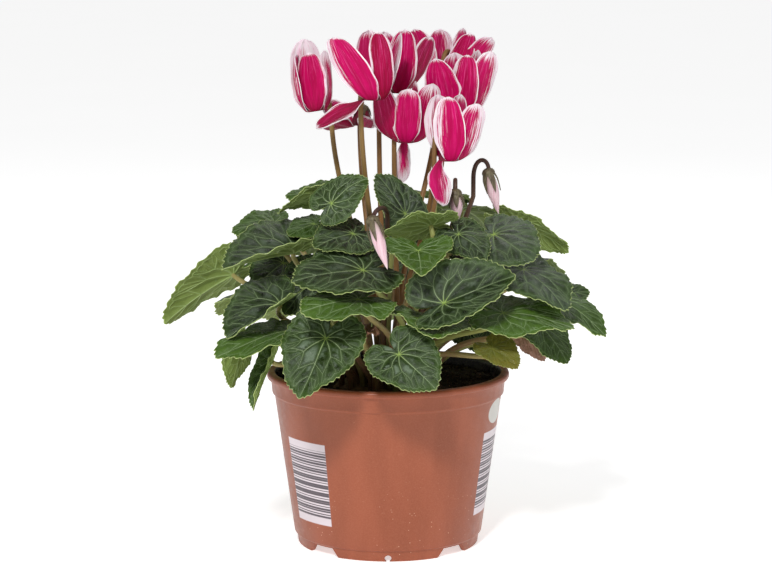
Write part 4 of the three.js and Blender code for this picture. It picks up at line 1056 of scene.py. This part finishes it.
def petal_points(petal, azimuth, place, t, s, seed):
    length, width, rise, twist, sweep = petal
    spot, slope = petal_line(length, rise, t)
    turn = math.radians(twist) * smoothstep(t, 0, 0.6)
    swell = PETAL_FOOT + (1 - PETAL_FOOT) * smoothstep(t, 0.04, PETAL_WIDEST)
    past = np.clip((t - PETAL_WIDEST) / (1 - PETAL_WIDEST), 0, 1)
    close = np.sqrt(np.maximum(0.004, 1 - past ** PETAL_BLUNTNESS))
    half = 0.5 * width * swell * close
    edge = 1 + 0.03 * np.sin(11 * t + 9 * seed) + 0.02 * np.sin(27 * t + 5 * seed)
    half = half * np.where(np.abs(s) > 0.01, edge, 1)
    swept = length * math.tan(math.radians(sweep)) * t * t * (1.5 - 0.5 * t)
    across = s * half * np.cos(turn) + swept
    ripple = np.sin(8 * t + 6 * seed + 2 * np.sign(s))
    crimp = 0.05 * width * np.abs(s) ** 3 * ripple * smoothstep(t, 0.2, 0.6)
    furl = 0.012 * width * np.sin(3 * np.pi * s + 4 * seed) * smoothstep(t, 0.15, 0.5)
    out = s * half * np.sin(turn) - PETAL_CUP * half * s * s + crimp + furl
    r = spot[..., 0] + out * slope[..., 1]
    z = spot[..., 1] - out * slope[..., 0]
    x = r * math.cos(azimuth) - across * math.sin(azimuth)
    y = r * math.sin(azimuth) + across * math.cos(azimuth)
    flat = np.stack([x, y, z], -1)
    return place(flat.reshape(-1, 3)).reshape(flat.shape)


def add_petal(sheet, petal, azimuth, place, look, seed):
    t, s = np.meshgrid(np.linspace(0, 1, 34) ** 0.9, np.linspace(-1, 1, 19), indexing="ij")
    middle = petal_points(petal, azimuth, place, t, s, seed)
    du = np.gradient(middle, axis=0)
    dv = np.gradient(middle, axis=1)
    normal = unit(np.cross(dv, du) + 1e-9)
    thick = (0.26 - 0.12 * np.abs(s) ** 3)[..., None]
    value = np.stack([(s + 1) / 2, t, np.zeros_like(t), np.full_like(t, seed)], -1).reshape(-1, 4)
    back = value.copy()
    back[:, 2] = 1
    add_shell(sheet, 0, middle + thick * normal, middle - thick * normal,
              petal=np.concatenate([value, back]), petal_look=look)


# Radius and height of the short tube that the petals bend back from, out of its mouth and up its outside.
CROWN_PROFILE = [
    (0.5, 3.4), (2.2, 2.6), (3.6, 0.9), (4.3, -0.1), (4.75, -0.35), (5.0, 0.2), (4.9, 1.6), (4.2, 4.0),
    (3.3, TUBE_HEIGHT - 1), (1.0, TUBE_HEIGHT - 0.9),
]
CROWN_SIDES = 40
FLOWER_SEPAL = (([0, 0.5, 1], [2.6, 3.6, 4.6]), ([0, 0.5, 1], [9.2, 7.2, 4.2]))


def make_flowers(materials, stalk_materials):
    rng = np.random.default_rng(RNG_SEED + 1)
    for name, mouth, lean, side, petals, petal_looks in FLOWERS:
        place = stand_frame(mouth, lean, side)
        sheet = Sheet(["petal", "petal_look", "stem"])
        for k, (petal, look) in enumerate(zip(petals, petal_looks)):
            azimuth = math.radians(FIRST_PETAL + PETAL_SPACING * k)
            add_petal(sheet, petal, azimuth, place, look, rng.random())
        angle = 2 * np.pi * np.arange(CROWN_SIDES) / CROWN_SIDES
        wave = 1 + 0.05 * np.cos(5 * angle + 0.6)
        rings = np.array([[[r * w * math.cos(a), r * w * math.sin(a), z] for a, w in zip(angle, wave)]
                          for r, z in CROWN_PROFILE])
        crown = grid_faces(len(CROWN_PROFILE), CROWN_SIDES, True, flip=True)
        sheet.add(place(rings.reshape(-1, 3)), crown, 1)
        piece = sheet.build(f"corolla_{name}_look", materials)
        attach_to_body(piece, "root")
        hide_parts(f"corolla_{name}")
        node = f"flower_stalk_{name}"
        points = node_points(node)
        root = root_of(points)
        facts = (place, HOOK_RADIUS, FLOWER_HOOK_RISE, CALYX_Z, FLOWER_SLANT, root)
        route = stalk_route(*facts, find_sway(points, *facts), 16, 40)
        stalk = Sheet(["stem"])
        add_tube(stalk, 0, route, np.linspace(1.1, 1.45, len(route)), 14, place([1, 0, 0]) - place([0, 0, 0]),
                 rng.random(), reverse=True)
        add_calyx(stalk, 1, place, CALYX_Z, FLOWER_SEPAL)
        piece = stalk.build(f"{node}_look", stalk_materials)
        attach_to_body(piece, "root")
        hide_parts(node)


# Radius of a bud's spindle at shares of its length, and how much slimmer it is than its solid.
BUD_SHARES = [0, 0.12, 0.34, 0.55, 0.72, 0.9, 1]
BUD_RADII = [2.4, 3.0, BUD_RADIUS, BUD_RADIUS * 0.85, BUD_RADIUS * 0.57, BUD_RADIUS * 0.25, 0.05]
BUD_SLIMNESS = 0.88
BUD_TWIST = 1.9
BUD_RINGS, BUD_SIDES = 40, 50


def make_buds(bud_materials, stalk_materials):
    rng = np.random.default_rng(RNG_SEED + 2)
    for name, at, lean, side, length, reach, rise in BUDS:
        bud_place = stand_frame(at, lean, side)
        place = stand_frame(at, [0, 0, 1], side)
        t = np.linspace(0, 1, BUD_RINGS)
        radius = np.interp(t, BUD_SHARES, BUD_RADII)
        kernel = np.ones(5) / 5
        radius[2:-2] = np.convolve(radius, kernel, "valid")
        radius *= BUD_SLIMNESS
        angle = 2 * np.pi * np.arange(BUD_SIDES) / BUD_SIDES
        turned = 5 * (angle[None, :] + BUD_TWIST * t[:, None])
        lobe = np.abs(np.sin(turned / 2))
        r = radius[:, None] * (0.9 + 0.1 * lobe ** 0.5)
        z = -length * np.repeat(t[:, None], BUD_SIDES, 1)
        rings = np.stack([r * np.cos(angle), r * np.sin(angle), z], -1)
        points = np.concatenate([rings.reshape(-1, 3), [[0, 0, 0.0]], [[0, 0, -length]]])
        along = np.append(np.repeat(t, BUD_SIDES), [0, 1])
        around = np.append((np.tile(angle, BUD_RINGS) + BUD_TWIST * along[:-2]) / (2 * np.pi) % 1, [0, 0])
        colour = np.stack([along, around, np.append(lobe.ravel(), [1, 1]), np.ones(len(along))], -1)
        sheet = Sheet(["stem"])
        last = BUD_RINGS * BUD_SIDES
        faces = [grid_faces(BUD_RINGS, BUD_SIDES, True, flip=True), fan_faces(last, np.arange(BUD_SIDES)),
                 fan_faces(last + 1, last - BUD_SIDES + np.arange(BUD_SIDES), flip=True)]
        sheet.add(bud_place(points), faces, 0, stem=colour)
        piece = sheet.build(f"bud_{name}_look", bud_materials)
        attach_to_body(piece, "root")
        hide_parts(f"bud_{name}")
        node = f"bud_stalk_{name}"
        cad_points = node_points(node)
        root = root_of(cad_points)
        facts = (place, reach, rise, BUD_GAP, 1, root)
        route = stalk_route(*facts, find_sway(cad_points, *facts), 18, 40)
        stalk = Sheet(["stem"])
        add_tube(stalk, 0, route, np.linspace(1.0, 1.4, len(route)), 14, place([1, 0, 0]) - place([0, 0, 0]),
                 rng.random(), reverse=True)
        sepal = (([0, 0.5, 1], [2.4, 3.4, 3.7]), ([0, 0.5, 1], [1.8, -0.14 * length, -0.45 * length]))
        add_calyx(stalk, 1, bud_place, BUD_GAP, sepal)
        piece = stalk.build(f"{node}_look", stalk_materials)
        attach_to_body(piece, "root")
        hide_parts(node)


# ---------------------------------------------------------------- pot, growing medium and tuber
# Radius and height, from the middle of the underside over the wall and the rim to the inner floor.
POT_PROFILE = [
    (0, 4.6), (42.2, 4.6), (42.2, 0.3), (42.5, 0), (44.5, 0), (44.82, 0.3), (45.3, 4.5), (45.5, 4.95),
    (45.9, 5.3), (46.4, 5.5), (46.65, 5.9), (49.8, 28.6), (53.0, 51.6), (56.15, 74.4), (56.35, 75.0),
    (57.0, 75.4), (57.35, 75.75), (57.45, 76.4), (57.95, 82.4), (58.2, 82.75), (59.3, 82.9), (59.75, 83.15),
    (59.97, 83.7), (60, 84.7), (59.75, 85.45), (59.25, 85.85), (58.6, 86), (56.9, 86), (56.2, 85.8),
    (55.85, 85.2), (55.6, 83.8), (54.6, 74), (45.0, 6.2), (0, 6.2),
]
POT_STEPS = 256
# Feet and the gaps between them, the notch under each foot, and the drain holes.
FOOT_COUNT, FOOT_TURN = 4, 45
GAP_LOW, GAP_HIGH, GAP_WIDTHS, GAP_REACH = -1, 4.4, (20.7, 13), 12
FOOT_INSIDE = 37.4
NOTCH_Z, NOTCH_RADIUS = 1.5, 1.7
DRAIN_CIRCLE, DRAIN_RADIUS, DRAIN_LOW, DRAIN_HIGH = 30, 4, 3, 8


def lathe_piece(name, profile, steps, materials):
    sheet = Sheet([])
    angle = 2 * np.pi * np.arange(steps) / steps
    inner = profile[1:-1]
    rings = np.array([[[r * math.cos(a), r * math.sin(a), z] for a in angle] for r, z in inner])
    points = np.concatenate([rings.reshape(-1, 3), [[0, 0, profile[0][1]]], [[0, 0, profile[-1][1]]]])
    count = len(inner)
    sheet.add(points, [grid_faces(count, steps, True), fan_faces(count * steps, np.arange(steps), flip=True),
                       fan_faces(count * steps + 1, (count - 1) * steps + np.arange(steps))], 0)
    return sheet.build(name, materials, 40)


def box_cutter(sheet, low, high, wide, reach, start, turn):
    """A block that tapers upwards, lying along the radius at the given turn."""
    corners = []
    for r in (start, start + reach):
        for z, half in ((low, wide[0] / 2), (high, wide[1] / 2)):
            corners += [(r, -half, z), (r, half, z)]
    corners = np.array(corners)
    c, s = math.cos(turn), math.sin(turn)
    turned = corners @ np.array([[c, s, 0], [-s, c, 0], [0, 0, 1]])
    faces = np.array([[0, 1, 3, 2], [4, 6, 7, 5], [0, 4, 5, 1], [2, 3, 7, 6], [0, 2, 6, 4], [1, 5, 7, 3]])
    sheet.add(turned, faces[:, ::-1], 0)


def round_cutter(sheet, centre, across, up, axis, radius, low, high):
    """A cylinder along the axis, from low to high beyond the centre."""
    angle = 2 * np.pi * np.arange(24) / 24
    circle = centre + radius * (np.outer(np.cos(angle), across) + np.outer(np.sin(angle), up))
    ends = [centre + low * axis, centre + high * axis]
    points = np.concatenate([circle + low * axis, circle + high * axis, ends])
    sheet.add(points, [grid_faces(2, 24, True), fan_faces(48, np.arange(24), flip=True),
                       fan_faces(49, 24 + np.arange(24))], 0)


def make_pot(materials):
    pot = lathe_piece("pot_look", POT_PROFILE, POT_STEPS, materials)
    cuts = Sheet([])
    up = np.array([0, 0, 1.0])
    for k in range(FOOT_COUNT):
        gap = math.radians(FOOT_TURN + 360 / FOOT_COUNT * k)
        foot = gap + math.pi / FOOT_COUNT
        out = np.array([math.cos(foot), math.sin(foot), 0])
        side = np.array([-math.sin(foot), math.cos(foot), 0])
        box_cutter(cuts, GAP_LOW, GAP_HIGH, GAP_WIDTHS, GAP_REACH, FOOT_INSIDE, gap)
        round_cutter(cuts, NOTCH_Z * up, side, up, out, NOTCH_RADIUS, FOOT_INSIDE, FOOT_INSIDE + GAP_REACH)
        round_cutter(cuts, DRAIN_CIRCLE * out, out, side, up, DRAIN_RADIUS, DRAIN_LOW, DRAIN_HIGH)
    cutter = cuts.build("cutter", [])
    modifier = pot.modifiers.new("cuts", "BOOLEAN")
    modifier.operation, modifier.solver, modifier.object = "DIFFERENCE", "EXACT", cutter
    done = bpy.data.meshes.new_from_object(pot.evaluated_get(bpy.context.evaluated_depsgraph_get()))
    pot.modifiers.clear()
    pot.data = done
    bpy.data.objects.remove(cutter)
    done.materials.clear()
    for material in materials:
        done.materials.append(material)
    for face in done.polygons:
        out = Vector((face.center.x, face.center.y, 0)).normalized()
        inward = face.normal.dot(out) < -0.3
        floor = face.normal.z > 0.7 and face.center.z < 0.02
        inside = face.center.z > 0.0058 and (inward or floor)
        face.material_index = 1 if inside else 0
        face.use_smooth = True
    done.set_sharp_from_angle(angle=math.radians(40))
    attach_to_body(pot, "root")
    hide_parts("pot")


# Printed panels: the turn of the middle and half of the width (radians), low and high edge (metres).
PANELS = ((-0.865, 0.262, 0.0160, 0.0572), (1.25, 0.205, 0.0178, 0.0595))
PANEL_MARGIN = 0.0035
OVAL_TURN, OVAL_HALF, OVAL_Z, OVAL_RISE = 1.26, 0.175, 0.0688, 0.0060


def pot_material():
    material, s = new_material("pot_plastic")
    place = s.place()
    x, y, z = s.node("SeparateXYZ", {0: place}).outputs
    turn = s.math("ARCTAN2", x, s.times(y, -1.0))
    flow = s.noise(s.vector(s.times(turn, 3), s.times(z, 14), 0.0),
                   1.0, 3, 0.5)
    grain = s.noise(place, 1400, 3, 0.6)
    colour = s.mix(s.smooth(flow, 0.3, 0.7), srgb(143, 75, 49), srgb(157, 84, 57))
    colour = s.mix(s.smooth(grain, 0.35, 0.75, 0.0, 0.12), colour, srgb(206, 132, 100))
    dust = s.smooth(s.cells(place, 420), 0.13, 0.06)
    low = s.smooth(z, 0.05, 0.012)
    where = s.smooth(s.noise(place, 45, 2, 0.5), 0.45, 0.55)
    colour = s.mix(s.times(s.times(dust, low), s.times(where, 0.8)), colour,
                   srgb(226, 180, 150))
    scuff = s.noise(s.stretch(place, (240, 240, 900)), 1.0, 4, 0.7)
    colour = s.mix(s.smooth(scuff, 0.66, 0.74, 0.0, 0.35), colour, srgb(214, 150, 120))

    def inside(value, middle, half, soft):
        return s.smooth(s.math("ABSOLUTE", s.minus(value, middle)), half + soft, half - soft)

    stripes = s.plus(s.times(s.math("SINE", s.times(z, 4700)), 0.6),
                     s.times(s.math("SINE", s.times(z, 1630)), 0.5))
    for middle, half, low_z, high_z in PANELS:
        span = (low_z + high_z) / 2
        size = (high_z - low_z) / 2
        panel = s.times(inside(turn, middle, half, 0.004), inside(z, span, size, 0.0002))
        worn = s.smooth(s.noise(place, 900, 3, 0.7), 0.2, 0.34, 0.55, 0.95)
        colour = s.mix(s.times(panel, worn), colour, srgb(226, 216, 222))
        bars = s.times(inside(z, span, size - PANEL_MARGIN, 0.0001), s.smooth(stripes, -0.22, -0.06))
        colour = s.mix(s.times(s.times(panel, bars), 0.9), colour, srgb(54, 42, 52))
    oval = s.plus(s.math("POWER", s.math("DIVIDE", s.minus(turn, OVAL_TURN), OVAL_HALF), 2.0),
                  s.math("POWER", s.math("DIVIDE", s.minus(z, OVAL_Z), OVAL_RISE), 2.0))
    colour = s.mix(s.smooth(oval, 1.05, 0.97), colour, srgb(204, 201, 195))
    height = s.plus(s.times(grain, 0.5), s.times(flow, 0.6))
    rough = s.smooth(s.noise(place, 220, 3, 0.6), 0.3, 0.7, 0.34, 0.46)
    s.finish(colour, rough, s.bump(height, 0.12, 0.0006), Specular_IOR_Level=0.35)
    return material


def pot_inside_material():
    material, s = new_material("pot_inside")
    place = s.place()
    grain = s.noise(place, 500, 3, 0.6)
    colour = s.mix(s.smooth(grain, 0.4, 0.7), srgb(28, 24, 25), srgb(58, 50, 50))
    s.finish(colour, s.smooth(grain, 0.3, 0.7, 0.22, 0.4), s.bump(grain, 0.15, 0.0005))
    return material


def soil_material():
    material, s = new_material("growing_medium")
    place = s.place()
    grain = s.noise(place, 420, 6, 0.7)
    crumbs = s.noise(place, 1100, 4, 0.7)
    colour = s.mix(s.smooth(grain, 0.35, 0.7), srgb(20, 15, 13), srgb(54, 40, 31))
    colour = s.mix(s.smooth(crumbs, 0.58, 0.68, 0.0, 0.8), colour, srgb(138, 112, 84))
    s.finish(colour, 0.95, s.bump(s.plus(grain, crumbs), 0.8, 0.0012), Specular_IOR_Level=0.2)
    return material


def tuber_material():
    material, s = new_material("tuber")
    place = s.place()
    bark = s.noise(s.stretch(place, (160, 160, 420)), 1.0, 5, 0.7)
    colour = s.mix(s.smooth(bark, 0.3, 0.7), srgb(44, 31, 24), srgb(104, 78, 58))
    s.finish(colour, 0.9, s.bump(bark, 0.6, 0.0012), Specular_IOR_Level=0.2)
    return material


def lumps(x, y, seed, scale):
    """Smooth repeatable unevenness of a surface, from a few waves in seeded directions."""
    rng = np.random.default_rng(seed)
    total = np.zeros_like(x)
    for _ in range(14):
        angle, phase = rng.random(2) * 2 * np.pi
        pitch = scale * (0.5 + 2.5 * rng.random())
        total += np.sin((x * math.cos(angle) + y * math.sin(angle)) * pitch + phase) / (0.6 + pitch / scale)
    return total / 4


SOIL_MIDDLE, SOIL_EDGE, SOIL_FLOOR = 77.4, 53.8, 6.7
SOIL_RINGS, SOIL_SIDES = 80, 160
SOIL_SIDE = ([54.3, 54.0, 44.6], [79.2, 73.4, SOIL_FLOOR])
CRUMBS, CRUMB_REACH = 900, 52.5


def soil_height(radius):
    """Level of the growing medium: lower beside the tuber, and nearly up to the rim of the pot."""
    return np.interp(radius, [0, 29.5, 34, 50, SOIL_EDGE], [SOIL_MIDDLE, SOIL_MIDDLE, 81.2, 81.0, 80.2])


def make_soil(material):
    sheet = Sheet([])
    angle = 2 * np.pi * np.arange(SOIL_SIDES) / SOIL_SIDES
    top = np.linspace(0.6, SOIL_EDGE, SOIL_RINGS)
    radii = np.concatenate([top, SOIL_SIDE[0]])
    heights = np.concatenate([soil_height(top), SOIL_SIDE[1]])
    x = radii[:, None] * np.cos(angle)
    y = radii[:, None] * np.sin(angle)
    rise = 0.8 * lumps(x, y, 5, 0.35) + 0.5 * lumps(x, y, 6, 1.1)
    rise[SOIL_RINGS - 1:] = 0
    z = heights[:, None] + np.clip(rise, -2.2, 0.8)
    points = np.stack([x, y, z], -1).reshape(-1, 3)
    points = np.concatenate([points, [[0, 0, SOIL_MIDDLE]], [[0, 0, SOIL_FLOOR]]])
    count = len(radii) * SOIL_SIDES
    ring = np.arange(SOIL_SIDES)
    sheet.add(points, [grid_faces(len(radii), SOIL_SIDES, True, flip=True), fan_faces(count, ring),
                       fan_faces(count + 1, count - SOIL_SIDES + ring, flip=True)], 0)
    rng = np.random.default_rng(RNG_SEED + 3)
    for _ in range(CRUMBS):
        reach = CRUMB_REACH * math.sqrt(rng.uniform(0.42, 1))
        turn = rng.random() * 2 * np.pi
        size = 0.45 + 1.0 * rng.random() ** 3
        height = soil_height(reach) + 0.3 * rng.random()
        add_crumb(sheet, rng, (reach * math.cos(turn), reach * math.sin(turn), height), size)
    piece = sheet.build("growing_medium_look", [material], 35)
    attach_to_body(piece, "root")
    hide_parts("growing_medium")


def add_crumb(sheet, rng, place, size):
    """A small angular lump: an uneven double cone of seven sides."""
    angle = 2 * np.pi * (np.arange(7) + 0.4 * rng.random(7)) / 7
    ring = np.stack([np.cos(angle), np.sin(angle), 0.3 * rng.normal(size=7)], -1)
    ring = ring * (0.7 + 0.5 * rng.random((7, 1)))
    points = np.concatenate([ring, [[0, 0, 0.5 + 0.4 * rng.random()]], [[0, 0, -0.6]]]) * size
    lean = rng.normal(size=2) * 0.3
    points[:, 0] += lean[0] * points[:, 2]
    points[:, 1] += lean[1] * points[:, 2]
    sheet.add(points + place, [fan_faces(7, np.arange(7)), fan_faces(8, np.arange(7), flip=True)], 0)


# Radius and height, from the crown down.
TUBER_PROFILE = [
    (0.5, 82), (6, 82.0), (12, 81.8), (18, 81.3), (23, 80.6), (26.5, 79), (28.4, 76.4), (29, 73), (29, 69),
    (28, 64), (24.5, 59), (17.4, 56), (9, 54.6), (0.5, 54),
]


def make_tuber(material):
    sheet = Sheet([])
    steps = 120
    angle = 2 * np.pi * np.arange(steps) / steps
    r = np.array([p[0] for p in TUBER_PROFILE])[:, None] * (1 + 0 * angle)
    z = np.array([p[1] for p in TUBER_PROFILE])[:, None] + 0 * angle
    shade = lumps(r * np.cos(angle) + z, r * np.sin(angle), 9, 0.5)
    r = r * (1 - 0.02 + 0.02 * shade)
    z = z - 0.4 + 0.4 * np.clip(shade, -1, 1) * (z > 76)
    points = np.stack([r * np.cos(angle), r * np.sin(angle), z], -1).reshape(-1, 3)
    count = len(TUBER_PROFILE)
    points = np.concatenate([points, [[0, 0, 81.7]], [[0, 0, 53.8]]])
    sheet.add(points, [grid_faces(count, steps, True, flip=True), fan_faces(count * steps, np.arange(steps)),
                       fan_faces(count * steps + 1, (count - 1) * steps + np.arange(steps), flip=True)], 0)
    piece = sheet.build("tuber_look", [material], 60)
    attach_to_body(piece, "root")
    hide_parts("tuber")


# ---------------------------------------------------------------- stage
FLOOR_REACH = 16.0
WORLD_STRENGTH = 0.26
# Lights: name, place and aim (metres), width (metres) and power (watts).
LIGHTS = (
    ("key", (-0.25, -1.35, 1.2), (0, 0, 0.12), 0.25, 19),
    ("fill", (0.9, -0.5, 0.9), (0, 0, 0.13), 0.7, 1.4),
    ("back", (0.2, 0.9, 1.1), (0, 0, 0.13), 0.7, 3),
)


def make_stage():
    """A pale floor that is lit a little more away from the plant, as a studio sweep is, and soft light."""
    material, s = new_material("floor")
    place = s.place()
    grain = s.noise(place, 3, 2, 0.5)
    away = s.node("VectorMath", {0: place}, operation="LENGTH").outputs["Value"]
    s.finish(s.mix(grain, (0.84, 0.84, 0.84), (0.88, 0.88, 0.88)), 0.9, Specular_IOR_Level=0.0,
             Emission_Color=(1, 1, 1), Emission_Strength=s.smooth(away, 0.05, 0.8, 0.58, 0.7))
    mesh = bpy.data.meshes.new("floor")
    corners = [(x * FLOOR_REACH, y * FLOOR_REACH, 0) for x, y in ((-1, -1), (1, -1), (1, 1), (-1, 1))]
    mesh.from_pydata(corners, [], [(0, 1, 2, 3)])
    mesh.materials.append(material)
    floor = bpy.data.objects.new("floor", mesh)
    bpy.context.scene.collection.objects.link(floor)
    world = bpy.data.worlds.new("studio")
    world.use_nodes = True
    background = world.node_tree.nodes["Background"]
    background.inputs[0].default_value = (1, 1, 1, 1)
    background.inputs[1].default_value = WORLD_STRENGTH
    bpy.context.scene.world = world
    bpy.context.scene.view_settings.view_transform = "Standard"
    for light in LIGHTS:
        area_light(*light)


make_camera()
make_stage()
top, under, vein = leaf_top_material(), leaf_under_material(), vein_material()
petiole = stem_material("petiole", srgb(142, 98, 78), srgb(154, 148, 92),
                        srgb(150, 156, 88), srgb(112, 76, 62))
make_leaves([top, under, vein, petiole])
stalk = stem_material("flower_stalk", srgb(142, 104, 62), srgb(124, 92, 54),
                      srgb(134, 108, 62), srgb(112, 66, 48))
calyx = calyx_material()
make_flowers([petal_material(), mouth_material()], [stalk, calyx])
bud_stalk = stem_material("bud_stalk", srgb(110, 84, 56), srgb(74, 52, 46),
                          srgb(84, 58, 50), srgb(70, 44, 42))
make_buds([bud_material()], [bud_stalk, calyx])
make_pot([pot_material(), pot_inside_material()])
make_soil(soil_material())
make_tuber(tuber_material())
